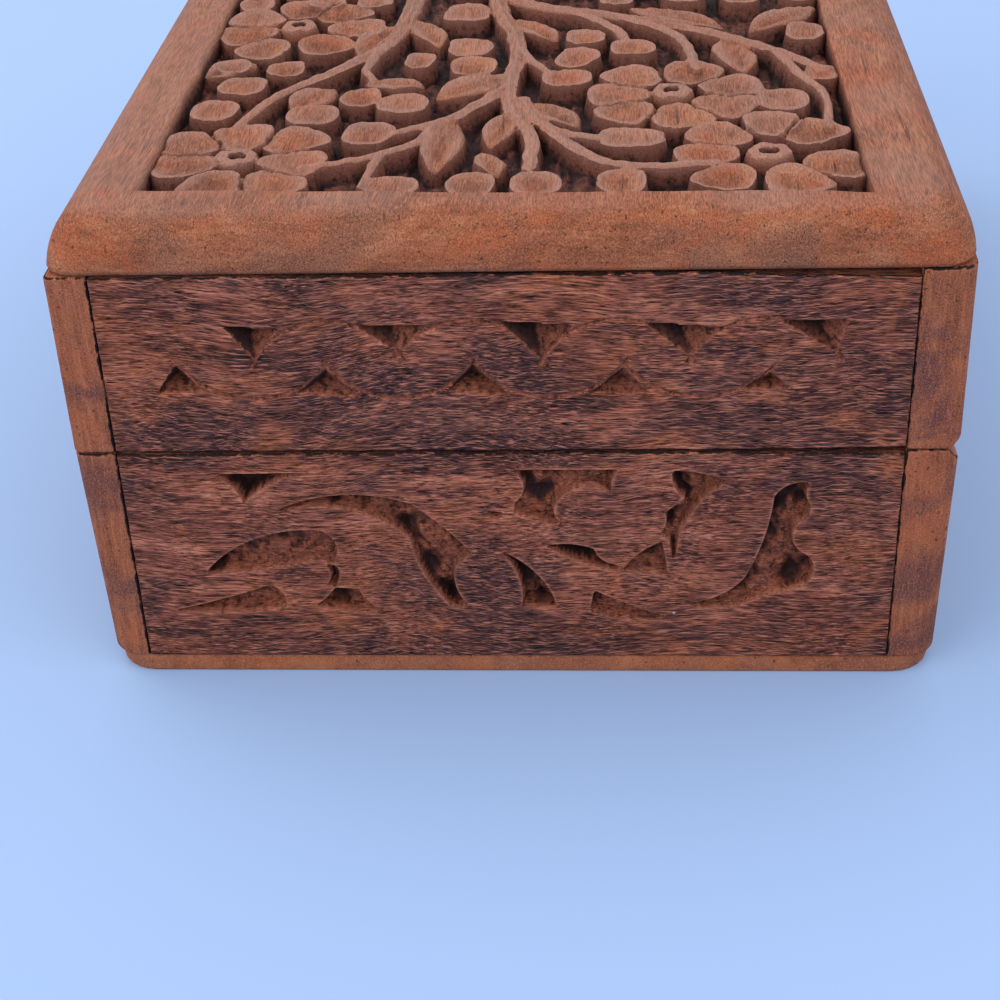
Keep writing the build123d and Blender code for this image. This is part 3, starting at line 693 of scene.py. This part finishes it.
lid_half_length, lid_half_width = 76.2, 50.8
lid_corners = np.array([6.4, 6.4, 5.4, 5.2])
box_top = 61.0
lid_rounding = 5.6
under_bevel = 0.6
pocket_floor = 57.0
panel_front, panel_back = -41.4, 39.9
lid_count = (15, 150)


def panel_end(y):
    """How far the recessed panel reaches along the box at each width: its end is cut a little out of square.
    """
    return np.interp(y, [-41.4, -40.0, 0.0, 30.0, 39.9], [66.9, 67.0, 68.9, 69.5, 70.4])


def panel_outline(outside=0.0):
    """The recessed panel's outline on the board's own count of points, wavy by a tenth of a millimetre."""
    half_y = (panel_back - panel_front) / 2 + outside
    plan = rounded_outline(1.0, half_y, 0.004, *lid_count)
    y = plan[:, 1] + (panel_back + panel_front) / 2
    x = plan[:, 0] * (panel_end(y) + outside)
    x = x + 0.12 * noise(x, y, 5.0, 2.4, 71) * (np.abs(plan[:, 0]) > 0.99)
    y = y + 0.14 * noise(x, y, 3.2, 5.0, 72) * (np.abs(plan[:, 0]) < 0.99)
    return np.stack([x, y], -1)


turns_in, turns_down = rounding(lid_rounding, 14)
side_insets = np.concatenate([[under_bevel, 0.3, 0.0, 0.0], turns_in])
side_heights = np.concatenate([lid_top + np.array([0, 0.2, under_bevel, 0.8]), box_top - turns_down])
rings = []
for inset, height in zip(side_insets, side_heights):
    corners = np.maximum(lid_corners * min(1, 0.55 + 0.15 * (height - lid_top)) - 0.6 * inset, 0.7)
    outline = rounded_outline(lid_half_length - inset, lid_half_width - inset, corners, *lid_count)
    rings.append(level_ring(outline, height))
outer, inner = rings[-1][:, :2], panel_outline()
for share in np.linspace(0, 1, 13)[1:]:
    flat = outer + (inner - outer) * share
    dips = 0.10 * (noise(*flat.T, 13, 6, 73) - 1) + 0.03 * (noise(*flat.T, 2.0, 1.4, 74) - 1)
    rings.append(level_ring(flat, box_top + dips * min(1, 3 * share)))
rings[-1][:, 2] -= 0.25
rings.append(level_ring(panel_outline(-0.12), rings[-1][:, 2] - 0.5))
rings += [level_ring(panel_outline(-0.3), height) for height in (box_top - 2.2, pocket_floor)]
points = np.concatenate(rings)
# Painted shade down the walls of the pocket under the border's lip, and black dirt along the underside's edge
sunk_tone_and_shade, seam = np.zeros((2, len(points)))
sunk_tone_and_shade[-len(inner) * 3:-len(inner) * 2] = 0.25
sunk_tone_and_shade[-len(inner) * 2:] = 1.0
seam[:len(inner)] = 1.0
x, y, z = points.T
# Wear and a painted highlight on the border's top, less towards the back and none at the +X end, with paler
# patches near the top
wear_and_highlight = (0.45 - 0.3 * np.clip(y / 30, 0, 1)) * np.clip((69 - x) / 3, 0, 1) * (z > 58)
patches = 0.5 + 0.5 * noise(x, y, 5, 9, 75)
wear_and_highlight = np.maximum(wear_and_highlight, 0.55 * patches * np.clip((z - box_top + 0.9) / 0.6, 0, 1))
marks = {"sunk_tone_and_shade": sunk_tone_and_shade, "seam": seam, "wear_and_highlight": wear_and_highlight}
lid_board = fill("lid_board", points, *ring_faces(len(rings), len(inner)), marks=marks, crease=45)
lid_wood = wood(
    "lid_wood", [(0.18, 0.056, 0.028), (0.29, 0.092, 0.045), (0.39, 0.150, 0.078)],
    stain=(0.35, 0.085, 0.034), hollow_tone_and_shade=(0.150, 0.052, 0.038), smudge=(0.15, 0.070, 0.052),
    wear_and_highlight_tone=(0.325, 0.170, 0.132), figure=(34, 7, 2.4), bands=(16, 4, 0.7), stained=0.65, smudged=0.55,
    fibre=3.0, contrast=0.75, pale=0.4, scratched=0.4, relief=0.08,
)
finish(lid_board, lid_wood, "lid", "lid_top_board")

# Relief of the lid
# Cut from the board itself: flowers of seven hollowed petals round a punched eye, buds, leaves and ridged
# stems stand 3 mm above a rough ground, with steep knife-cut walls. The ground is a darker brown, and
# painted shade darkens the walls and deepens towards black low down and in the eyes. The left half mirrors
# the right.

relief_cell = 0.27
ground_drop = 3.0
petal_half_length, petal_half_width, petal_taper = 3.9, 3.35, 0.3
eye_radius, groove_depth = 2.4, 0.85
# How fast the walls of petals and buds, of leaves and of stems fall away
round_slope, leaf_slope, stem_slope = 7.0, 6.0, 4.5
# Each flower is its eye and its petals' middles, as the carver placed them
flowers = [
    (
        (57.0, -31.7),
        [(50.5, -32), (52.5, -37.7), (58.7, -37.5), (64.3, -33.3), (64, -26.7), (58.3, -25), (52, -25.7)],
    ),
    ((11.4, -30.8), [(17.5, -26.5), (12, -23), (6, -25.5), (4.5, -31), (8, -36.8), (14, -37.2), (19.5, -34)]),
    (
        (38.0, 19.0),
        [(38.5, 12.5), (32.5, 14.5), (31.5, 21.5), (36, 26), (42.3, 25.2), (45.5, 20), (44, 13.7)],
    ),
    ((57.5, 29.5), [(51.5, 35), (52, 24.5), (49, 30.5), (57.7, 22.3), (64, 24.5), (65, 31.7), (60.5, 37)]),
]
# Each bud is its place, half its length along the box, half its width, and its turn
buds = [
    ((25.5, -13.0), 2.7, 1.9, 0), ((20.4, -7.0), 3.4, 3.0, 0), ((27.4, -6.0), 3.2, 2.9, 0),
    ((7.0, -8.2), 3.9, 3.3, 0), ((40.5, -13.8), 3.3, 3.2, 0), ((38.0, -19.6), 3.0, 2.5, 0),
    ((43.6, -24.6), 3.1, 3.2, 0), ((41.5, -37.0), 3.5, 3.0, 0), ((50.0, -17.0), 3.5, 3.2, 0),
    ((25.2, 7.4), 3.7, 2.6, -20), ((32.6, 6.1), 2.7, 3.1, 0), ((17.7, 8.4), 2.8, 2.8, 0),
    ((22.0, 14.4), 2.8, 3.0, 0), ((16.3, 37.0), 3.4, 2.5, 0), ((40.8, 32.2), 3.4, 3.0, 0),
    ((52.4, 14.0), 2.9, 3.9, 0), ((33.2, -35.0), 3.1, 3.1, 0), ((65.6, -13.0), 2.6, 3.0, 0),
    ((27.5, -30.2), 2.6, 2.4, 0), ((31.6, 38.0), 2.6, 2.2, 0), ((1.6, 21.6), 2.6, 3.0, 0),
    ((2.2, 29.4), 3.0, 2.6, 0), ((1.8, 37.4), 2.8, 2.4, 0), ((2.4, 12.2), 2.4, 2.4, 0),
    ((1.6, -21.4), 2.4, 2.4, 0), ((1.8, -38.0), 2.8, 2.4, 0), ((1.6, -28.2), 2.2, 2.6, 0),
    ((26.4, -37.2), 2.4, 2.2, 0), ((65.0, 12.6), 3.4, 2.7, 0),
    ((65.2, 3.0), 3.2, 2.8, 0), ((65.0, -4.0), 3.2, 2.8, 0),
]
# Each leaf is where it leaves its stem, its tip, and its width
leaves = [
    ((10.5, -17.2), (22.0, -21.6), 5.0), ((8.5, -14.8), (19.0, -11.0), 4.6), ((9.0, -1.6), (17.5, 4.4), 4.6),
    ((5.0, 14.0), (13.6, 26.6), 5.6), ((6.0, 39.4), (15.0, 29.6), 4.8), ((18.0, 26.4), (30.5, 28.4), 5.4),
    ((30.5, -0.8), (37.8, -10.0), 5.4), ((40.0, 1.0), (47.8, 7.8), 5.0), ((44.5, -7.6), (60.8, -8.6), 5.0),
    ((43.0, -0.6), (53.8, -2.6), 3.8), ((55.4, -3.4), (62.2, -1.2), 3.4), ((32.6, -19.4), (33.8, -11.8), 4.4),
    ((34.4, -23.0), (40.6, -27.8), 5.0), ((24.6, -34.4), (29.0, -40.6), 4.6),
]
# Each stem is the points that it passes, and its width at the root and at the tip
stems = [
    ([(-1, -15.8), (9, -16.3), (17, -17.4), (24, -20.6), (31, -25.3), (38, -30.3), (47, -33.2)], 2.89, 1.28),
    (
        [(-1, -4.5), (8, -3.2), (16, -1.2), (26, -0.4), (34, -1.2), (43, -0.5), (52, 2.2), (61, 2.3)],
        2.55, 1.6,
    ),
    ([(36, -1.5), (41, -4.6), (46, -7.9), (50.4, -14.0)], 2.21, 1.12),
    ([(48, -9.4), (54, -11.8), (58.4, -18.0), (60.5, -24.0)], 1.53, 0.96),
    ([(49, 4.0), (55, 7.2), (59.6, 11.0), (61, 17.0), (60.2, 23.5)], 1.87, 1.28),
    ([(-1, -4.4), (4.6, 2.0), (8.6, 11.0), (14, 21.0), (20.4, 29.2), (27, 35.2), (31, 38.0)], 2.72, 1.76),
    ([(9.6, 13.0), (15, 18.6), (21, 21.2), (30, 22.2)], 1.87, 1.28),
    ([(24, 32.6), (32, 34.8), (40, 37.4), (50, 37.0)], 1.53, 0.96),
    ([(20, -18.2), (25, -19.3), (29, -19.7), (32.5, -18.3)], 1.53, 0.96),
    ([(56.6, -15.0), (61, -15.8), (66, -16.3)], 1.19, 0.8),
    ([(40, 0.6), (46, 2.4), (50.4, 5.6), (53.0, 11.0)], 2.04, 1.28),
    ([(7.0, 6.6), (11, 10.0), (15.5, 12.6), (20, 13.8)], 1.87, 1.28),
    ([(22, -0.2), (27, 1.6), (31.5, 4.0)], 1.36, 0.96),
]


def round_form(x, y, at, half_length, half_width, turn, taper):
    """A squarish round: |p|^2.6 + |q|^2.6 = 1, with p and q the places along and across it.

    Gives how far outside it each point lies along its radius, the step on to its rim, and the share of the
    way from its middle to its rim. A taper makes it wider at its outer end than at its inner one.
    """
    c, s = math.cos(turn), math.sin(turn)
    dx, dy = x - at[0], y - at[1]
    along = (dx * c + dy * s) / half_length
    wide = half_width * (1 + taper * np.clip(along, -1, 1))
    p, q = np.abs(along), np.abs(dy * c - dx * s) / wide
    share = np.maximum((p**2.6 + q**2.6) ** (1 / 2.6), 1e-6)
    far = np.hypot(dx, dy)
    return far - far / share, dx / share - dx, dy / share - dy, share


def leaf_form(x, y, base, tip, width):
    """A leaf: where two equal discs overlap, whose rims meet at its base and at its tip."""
    base, tip = np.array(base), np.array(tip)
    length = np.hypot(*(tip - base))
    radius = (length**2 / 4 + width**2 / 4) / width
    across = np.array([base[1] - tip[1], tip[0] - base[0]]) / length * (radius - width / 2)
    middle = (base + tip) / 2
    outside, step_x, step_y = np.full(x.shape, -1e9), np.zeros(x.shape), np.zeros(x.shape)
    for centre in (middle + across, middle - across):
        dx, dy = x - centre[0], y - centre[1]
        far = np.hypot(dx, dy)
        further = far - radius > outside
        outside = np.where(further, far - radius, outside)
        step_x = np.where(further, dx * (radius / far - 1), step_x)
        step_y = np.where(further, dy * (radius / far - 1), step_y)
    return outside, step_x, step_y


def smooth_line(points, per_span=10):
    """A curve through points: on each span a cubic, whose slope at a point is half its neighbours' step."""
    knots = np.array(points, float)
    knots = np.concatenate([[2 * knots[0] - knots[1]], knots, [2 * knots[-1] - knots[-2]]])
    a, b, c, d = knots[:-3, None], knots[1:-2, None], knots[2:-1, None], knots[3:, None]
    t = (np.arange(per_span) / per_span)[None, :, None]
    spans = 0.5 * (2 * b + (c - a) * t + (2 * a - 5 * b + 4 * c - d) * t**2 + (3 * b - a - 3 * c + d) * t**3)
    return np.concatenate([spans.reshape(-1, 2), knots[-2:-1]])


def stem_form(x, y, points, root_width, tip_width):
    """A stem along a smooth line: how far outside it each point lies, the step on to its rim, and its width
    there, which runs evenly from root to tip."""
    far, step_x, step_y, share = nearest_on(smooth_line(points), x, y)
    width = root_width + (tip_width - root_width) * share
    outside = far - width / 2
    pull = outside / np.maximum(far, 1e-6)
    return outside, pull * step_x, pull * step_y, width


def carved_rounds(seed):
    """Every petal and bud as the hand cut it: the number of its flower or None, its place, half its length
    and width, its turn, its taper and its sway, eight chance numbers that die out towards the middle."""
    chance = np.random.default_rng(seed)
    planned = []
    for number, (eye, petals) in enumerate(flowers):
        for petal in petals:
            turn = math.atan2(petal[1] - eye[1], petal[0] - eye[0])
            planned.append((number, petal, petal_half_length, petal_half_width, turn, petal_taper))
    for at, half_length, half_width, turn in buds:
        planned.append((None, at, half_length, half_width, math.radians(turn), 0.0))
    cut = []
    for number, at, half_length, half_width, turn, taper in planned:
        sway = chance.uniform(-1, 1, 8) * min(1, at[0] / 8)
        at = (at[0] + 0.2 * sway[0], at[1] + 0.2 * sway[1])
        size = 1 + 0.05 * sway[2]
        cut.append((number, at, half_length * size, half_width * size, turn + 0.1 * sway[3], taper, sway))
    return cut


def near(x, y, places, reach):
    """The points that lie in the upright rectangle round some places, or less than a reach outside it."""
    low, high = np.min(places, axis=0) - reach, np.max(places, axis=0) + reach
    return (x > low[0]) & (x < high[0]) & (y > low[1]) & (y < high[1])


def slid_to_rims(x, y, rounds):
    """The points, with those within half a cell of a rim moved on to it, by half a cell each way at most."""
    limit = 0.5 * relief_cell
    slide_x, slide_y = np.zeros((2, *x.shape))

    def pull(window, outside, step_x, step_y):
        """Notes the step on to a form's rim for the points that lie less than half a cell from it."""
        rim = np.abs(outside) < limit
        slide_x[window] = np.where(rim, step_x, slide_x[window])
        slide_y[window] = np.where(rim, step_y, slide_y[window])

    for _, at, *shape, _ in rounds:
        window = near(x, y, [at], shape[0] + 1)
        pull(window, *round_form(x[window], y[window], at, *shape)[:3])
    for base, tip, width in leaves:
        window = near(x, y, [(np.array(base) + tip) / 2], math.dist(base, tip) / 2 + 1)
        pull(window, *leaf_form(x[window], y[window], base, tip, width))
    for points, *widths in stems:
        window = near(x, y, points, 3)
        pull(window, *stem_form(x[window], y[window], points, *widths)[:3])
    return x + np.clip(slide_x, -limit, limit), y + np.clip(slide_y, -limit, limit)


def relief(x, y, side, seed):
    """Heights of the carving over a grid of points, whose points slide on to the nearest rims.

    Each form gives its top inside its outline, and outside it a wall that falls several times as fast as
    it goes out; the carving is the highest of them all and the ground. Two petals that meet are parted by a
    groove where they are equally near. The outlines waver, because the points are looked up a little aside.
    Noise reads the point's place on the whole lid, so that the halves join, and the hand's small errors
    differ between them except next to the middle.
    """
    rounds = carved_rounds(seed)
    bend_x = 0.17 * noise(side * x, y, 2.3, 1.9, 307) * np.clip(x / 2, 0, 1)
    bend_y = 0.17 * noise(side * x, y, 1.8, 2.4, 308)
    x, y = slid_to_rims(x + bend_x, y + bend_y, rounds)
    place_x, place_y = x - bend_x, y - bend_y
    whole_x = side * place_x

    height = -ground_drop + 0.3 * noise(whole_x, y, 2.6, 0.5, 301) + 0.2 * noise(whole_x, y, 1.1, 1.0, 302)
    height += 0.3 * noise(whole_x, y, 6, 5, 303)
    fine = 0.08 * noise(whole_x, y, 3.0, 0.7, 304) + 0.06 * noise(whole_x, y, 0.9, 0.8, 305)
    dark = np.zeros(x.shape)
    best, second = np.full((2, len(flowers), *x.shape), 9.0)
    for number, at, *shape, sway in rounds:
        window = near(x, y, [at], shape[0] + 3.5)
        wx, wy = x[window], y[window]
        outside, _, _, share = round_form(wx, wy, at, *shape)
        if number is not None:
            first = best[number][window]
            second[number][window] = np.minimum(second[number][window], np.maximum(first, share))
            best[number][window] = np.minimum(first, share)
        share = np.minimum(share, 1)
        dish = (1.0 if number is not None else 0.75) * (1 + 0.35 * sway[4])
        tilt = 0.07 * sway[5] * (wx - at[0]) + 0.07 * sway[6] * (wy - at[1])
        top = -0.2 - 0.2 * abs(sway[7]) - dish * (1 - share**2.4) - np.abs(tilt)
        soft = 0.26 * np.clip(1 + outside / 0.5, 0, 1) ** 2
        wall = np.maximum(outside, 0)
        rough = 0.35 * np.minimum(wall / 0.3, 1) * noise(wx + wy, wx - wy, 0.6, 0.6, 306)
        height[window] = np.maximum(height[window], top + fine[window] - soft - round_slope * wall + rough)
    for number, (eye, _) in enumerate(flowers):
        groove = np.clip(1 - (second[number] - best[number]) / 0.2, 0, 1) * (best[number] < 1.12)
        height = np.where(groove > 0, np.maximum(height - groove_depth * groove, -ground_drop), height)
        far = np.hypot(x - eye[0], y - eye[1])
        disc = -0.35 + 0.12 * np.exp(-(((far - 1.5) / 0.5) ** 2)) - 0.05 * far
        disc -= 3.0 * np.maximum(far - eye_radius, 0)
        spin = np.arctan2(y - eye[1], x - eye[0])
        disc += 0.10 * np.sin(5 * spin + number) * np.clip(far / 2, 0, 1)
        height = np.maximum(height, disc + fine)
        # The eye's punched hole, and painted shade that fills it
        hole = (np.abs(x - eye[0] - 0.1) ** 2.4 + np.abs(y - eye[1]) ** 2.4) ** (1 / 2.4)
        height = height - 2.2 * np.clip((0.98 - hole) / 0.3, 0, 1)
        dark = np.maximum(dark, np.clip((1.08 - hole) / 0.2, 0, 1))
    for base, tip, width in leaves:
        base, tip = np.array(base), np.array(tip)
        length = math.dist(base, tip)
        window = near(x, y, [(base + tip) / 2], length / 2 + 3.5)
        wx, wy = x[window], y[window]
        outside, _, _ = leaf_form(wx, wy, base, tip, width)
        run = (tip - base) / length
        along = ((wx - base[0]) * run[0] + (wy - base[1]) * run[1]) / length
        across = ((wy - base[1]) * run[0] - (wx - base[0]) * run[1]) / (0.5 * width)
        top = -0.3 - 0.8 * np.exp(-((across / 0.5) ** 2)) * np.clip(1.3 * along, 0, 1) - 0.25 * across
        top = top - 0.6 * np.clip(1 - along, 0, 1)
        soft = 0.3 * np.clip(1 + outside / 0.35, 0, 1) ** 2
        top = top - soft - leaf_slope * np.maximum(outside, 0)
        height[window] = np.maximum(height[window], top + fine[window])
    for points, *widths in stems:
        window = near(x, y, points, 5)
        outside, _, _, width = stem_form(x[window], y[window], points, *widths)
        far = outside + width / 2
        lines = 0.16 * (1 - np.cos(2 * np.pi * far / 0.95)) * np.clip((width - 1.4) / 0.8, 0, 1)
        top = -0.3 - lines - 0.35 * (far / (width / 2)) ** 2 - stem_slope * np.maximum(outside, 0)
        height[window] = np.maximum(height[window], top + fine[window])
    edge = np.minimum(np.minimum(place_y - panel_front, panel_back - place_y), panel_end(place_y) - place_x)
    height = height - 0.7 * np.exp(-((np.maximum(edge, 0) / 0.28) ** 2))
    return place_x, place_y, np.minimum(height, -0.05), dark


def relief_block(name, side, seed):
    """One half of the carving as a closed block: its carved top, straight sides and a flat underside.

    The grid runs from the middle of the box to just under the border, row by row across it. Its points take
    painted shade where they lie deep or below their neighbours, and wear with a painted highlight where
    they stand high.
    """
    tuck = 0.25
    rows = int((panel_back - panel_front) / relief_cell) + 2
    across = np.linspace(panel_front - tuck, panel_back + tuck, rows)
    share, y = np.meshgrid(np.linspace(0, 1, int(70 / relief_cell) + 1), across, indexing="ij")
    x, y, z, dark = relief(share * (panel_end(y) + tuck), y, side, seed)
    x = np.where(share > 0, np.clip(x, 0.02, panel_end(y) + tuck), 0)
    # Painted shade: darker with depth, below the blurred neighbours and in the eyes; wear and a painted
    # highlight on the high tops and rims
    shade = 0.72 * np.clip(-0.45 - 0.42 * z, 0, 1) + np.clip(0.5 * (blurred(z, 6) - z), -0.12, 0.6) + dark
    wear_and_highlight = np.clip(0.48 + 0.3 * (z - blurred(z, 6)) + 0.45 * (z + 0.6), 0.1, 0.75) * np.clip(1.7 + z, 0, 1)
    z = box_top + z
    grid = np.arange(x.size).reshape(x.shape)
    squares = np.stack([grid[:-1, :-1], grid[1:, :-1], grid[1:, 1:], grid[:-1, 1:]], -1).reshape(-1, 4)
    top = halved(squares, z)
    rim = np.concatenate([grid[:, 0], grid[-1, 1:], grid[-2::-1, -1], grid[0, -2:0:-1]])
    points = np.stack([side * x, y, z], -1).reshape(-1, 3)
    foot = points[rim] * [1, 1, 0] + [0, 0, pocket_floor + 0.2]
    low = len(points) + np.arange(len(rim))
    walls = np.stack([rim, low, np.roll(low, -1), np.roll(rim, -1)], -1)
    base = low[::-1][None]
    if side < 0:
        top, walls, base = top[:, ::-1], walls[:, ::-1], base[:, ::-1]
    points = np.concatenate([points, foot])
    sunk_tone_and_shade = np.concatenate([np.clip(shade, 0, 1).ravel(), np.ones(len(foot))])
    wear_and_highlight = np.concatenate([wear_and_highlight.ravel(), np.zeros(len(foot))])
    a, b, c = (points[top[:, i]] for i in range(3))
    normal = np.cross(b - a, c - a)
    level = np.abs(normal[:, 2]) / np.maximum(np.linalg.norm(normal, axis=1), 1e-9)
    # Painted shade on the steep walls of the carving, full on the block's sides and underside
    steep_shade = np.concatenate([0.7 * np.clip((0.7 - level) / 0.5, 0, 1), np.ones(len(walls) + 1)])
    marks = {"sunk_tone_and_shade": sunk_tone_and_shade, "wear_and_highlight": wear_and_highlight, "steep_shade": steep_shade}
    return fill(name, points, top, walls, base, marks=marks, crease=50)


for side, name, seed in ((1, "right", 101), (-1, "left", 201)):
    block = relief_block(f"lid_{name}_relief", side, seed)
    finish(block, lid_wood, "lid", "lid_top_board")

# Back walls
# Long boards like the front ones, with ends rounded in the same way. Seats are let into the rims for the
# hinges, and the rims are bevelled behind the pins so that the lid can swing back.

box_seam = 32.0
back_inside, pin_y, knuckle_seat = 44.8, 49.5, 1.45
hinge_middle, seat_half, seat_depth = 48.0, 10.1, 0.9
bevel_slope = 1.198


def back_wall(name, up, far, rim_radius, far_radius):
    """A long wall at the back: closed outlines of length and height, set one behind the other to its back.

    Heights are measured from the seam, up being 1 or -1, to far. The rim falls away along the bevel behind
    the pin, and the seats are as deep as the plate, or as the circle round the pin where that is deeper. The
    ends' corners are quarter circles, of rim_radius at the seam and far_radius at far.
    """
    turns = np.sin(np.linspace(0, np.pi / 2, 18))
    y = np.unique(np.concatenate([
        back_inside + close_steps, [back_inside + 0.65, 46.0, pin_y], back_face - 4.0 * (1 - turns),
    ]))[:, None]
    rim = np.maximum(0.1, bevel_slope * (y - pin_y))
    circle = np.sqrt(np.maximum(0, knuckle_seat**2 - (y - pin_y) ** 2))
    seat = np.maximum(np.maximum(circle, np.where(y <= pin_y, seat_depth, 0)), rim + 0.002)
    close = np.array([0, 0.0012, 0.004, 0.01, 0.025])
    share = np.concatenate([close, np.linspace(0.08, 0.92, 10), 1 - close[::-1]])[None]
    height = rim + (far - rim) * share
    radius = rim_radius + (far_radius - rim_radius) * share
    corner = radius - np.sqrt(radius**2 - np.maximum(0, y - back_face + radius) ** 2 + 1e-12)
    edge = np.minimum(np.minimum(share, 1 - share) * far, y - back_inside)
    end_x = end_face - corner - eased(edge)
    spots = hinge_middle + seat_half * np.array([-1, -1, 1, 1])
    close_x = end_x[:, :1] - 0.7
    rim_x = np.concatenate([-close_x, np.concatenate([-spots[::-1], spots]) + 0 * y, close_x], axis=1)
    rim_height = np.concatenate([rim, *([rim, seat, seat, rim] * 2), rim], axis=1)
    far_x = np.linspace(70, -70, 8) + 0 * y
    x = np.concatenate([rim_x, end_x, far_x, -end_x[:, ::-1]], axis=1)
    z = np.concatenate([rim_height, height, far + 0 * far_x, height[:, ::-1]], axis=1)
    seam = np.clip(1 - edge / dirt_width, 0, 1)
    seam = np.concatenate([0 * rim_x, seam, 0 * far_x, seam[:, ::-1]], axis=1)
    # Painted shade in the hinge seats
    sunk_tone_and_shade = np.concatenate([0.6 * (rim_height > rim + 0.1), 0 * x[:, 10:]], axis=1)
    points = np.stack([x, y + 0 * x, box_seam + up * z], -1)
    if up > 0:
        points, seam, sunk_tone_and_shade = points[:, ::-1], seam[:, ::-1], sunk_tone_and_shade[:, ::-1]
    return fill(name, points.reshape(-1, 3), *ring_faces(*x.shape), marks={"seam": seam, "sunk_tone_and_shade": sunk_tone_and_shade})


wall = back_wall("base_back_board", -1, box_seam - base_foot, seam_radius, foot_radius)
finish(wall, wall_wood, "base", "base_back_wall")
wall = back_wall("lid_back_board", 1, lid_top - box_seam, lid_seam_radius, lid_top_radius)
finish(wall, wall_wood, "lid", "lid_back_wall")

# Hinges
# Two brass butt hinges let into the rims at the back, dulled by handling.

brass = bpy.data.materials.new("dull_brass")
brass.use_nodes = True
tree = brass.node_tree
tree.nodes.clear()
place = shader(tree, "TexCoord").outputs["Object"]
tarnish = sized_noise(tree, place, (3, 3, 3), 4.0, 0.6)
strokes = sized_noise(tree, place, (4, 0.15, 0.3), 2.0, 0.5)
colour = ramp(tree, tarnish, [(0.35, (0.30, 0.19, 0.07)), (0.6, (0.60, 0.43, 0.17))])
bump = shader(tree, "Bump", {"Strength": 0.3, "Distance": 0.00005, "Height": strokes})
body = shader(tree, "BsdfPrincipled", {
    "Base Color": colour, "Metallic": 1.0, "Roughness": ramp(tree, tarnish, [(0.3, 0.5), (0.7, 0.3)]),
    "Normal": bump.outputs[0],
})
shader(tree, "OutputMaterial", {"Surface": body.outputs[0]})
for name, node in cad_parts.items():
    if "hinge" in name:
        node.data.materials.clear()
        node.data.materials.append(brass)

# Stage
# A plain pale blue floor, soft light from above and behind, and the camera where the photographer stood.

floor_size = 3.0
floor_mesh = bpy.data.meshes.new("floor")
corners = [(floor_size * x, floor_size * y, 0) for x, y in ((-1, -1), (1, -1), (1, 1), (-1, 1))]
floor_mesh.from_pydata(corners, [], [(0, 1, 2, 3)])
floor = bpy.data.objects.new("floor", floor_mesh)
bpy.context.scene.collection.objects.link(floor)
floor_paint = bpy.data.materials.new("floor_paint")
floor_paint.use_nodes = True
paint = floor_paint.node_tree.nodes["Principled BSDF"]
paint.inputs["Base Color"].default_value = (0.285, 0.405, 0.65, 1)
paint.inputs["Roughness"].default_value = 0.9
floor_mesh.materials.append(floor_paint)

scene = bpy.context.scene
scene.view_settings.view_transform = "Standard"
sky = bpy.data.worlds.new("studio")
sky.use_nodes = True
sky.node_tree.nodes["Background"].inputs["Color"].default_value = (0.93, 0.96, 1.0, 1)
sky.node_tree.nodes["Background"].inputs["Strength"].default_value = 1.22
scene.world = sky


def soft_light(name, place, size, power, colour):
    """A square lamp that looks at the box: its axes are the way from the box to it and two across that."""
    lamp = bpy.data.lights.new(name, "AREA")
    lamp.size, lamp.energy, lamp.color = size, power, colour
    holder = bpy.data.objects.new(name, lamp)
    away = np.array(place) / np.linalg.norm(place)
    side = np.cross([0, 1.0, 0.01], away)
    side /= np.linalg.norm(side)
    rise = np.cross(away, side)
    holder.matrix_world = Matrix((
        *((side[i], rise[i], away[i], place[i]) for i in range(3)), (0, 0, 0, 1),
    ))
    scene.collection.objects.link(holder)


soft_light("window", (-0.25, -0.55, 0.85), 0.6, 2.4, (1.0, 0.98, 0.95))
soft_light("front_window", (0.75, -0.75, 0.55), 0.7, 4.3, (1.0, 0.98, 0.95))
soft_light("fill", (0.85, 0.55, 0.9), 1.2, 4.4, (1.0, 0.98, 0.96))

camera_data = bpy.data.cameras.new("camera")
camera_data.sensor_width = 36.0
camera_data.lens = 67.19
camera = bpy.data.objects.new("camera", camera_data)
camera.matrix_world = Matrix((
    (-0.04975, -0.54446, 0.8374, 0.25792),
    (0.99813, 0.00284, 0.0612, 0.01182),
    (-0.03567, 0.83884, 0.5433, 0.14337),
    (0, 0, 0, 1),
))
scene.collection.objects.link(camera)
scene.camera = camera
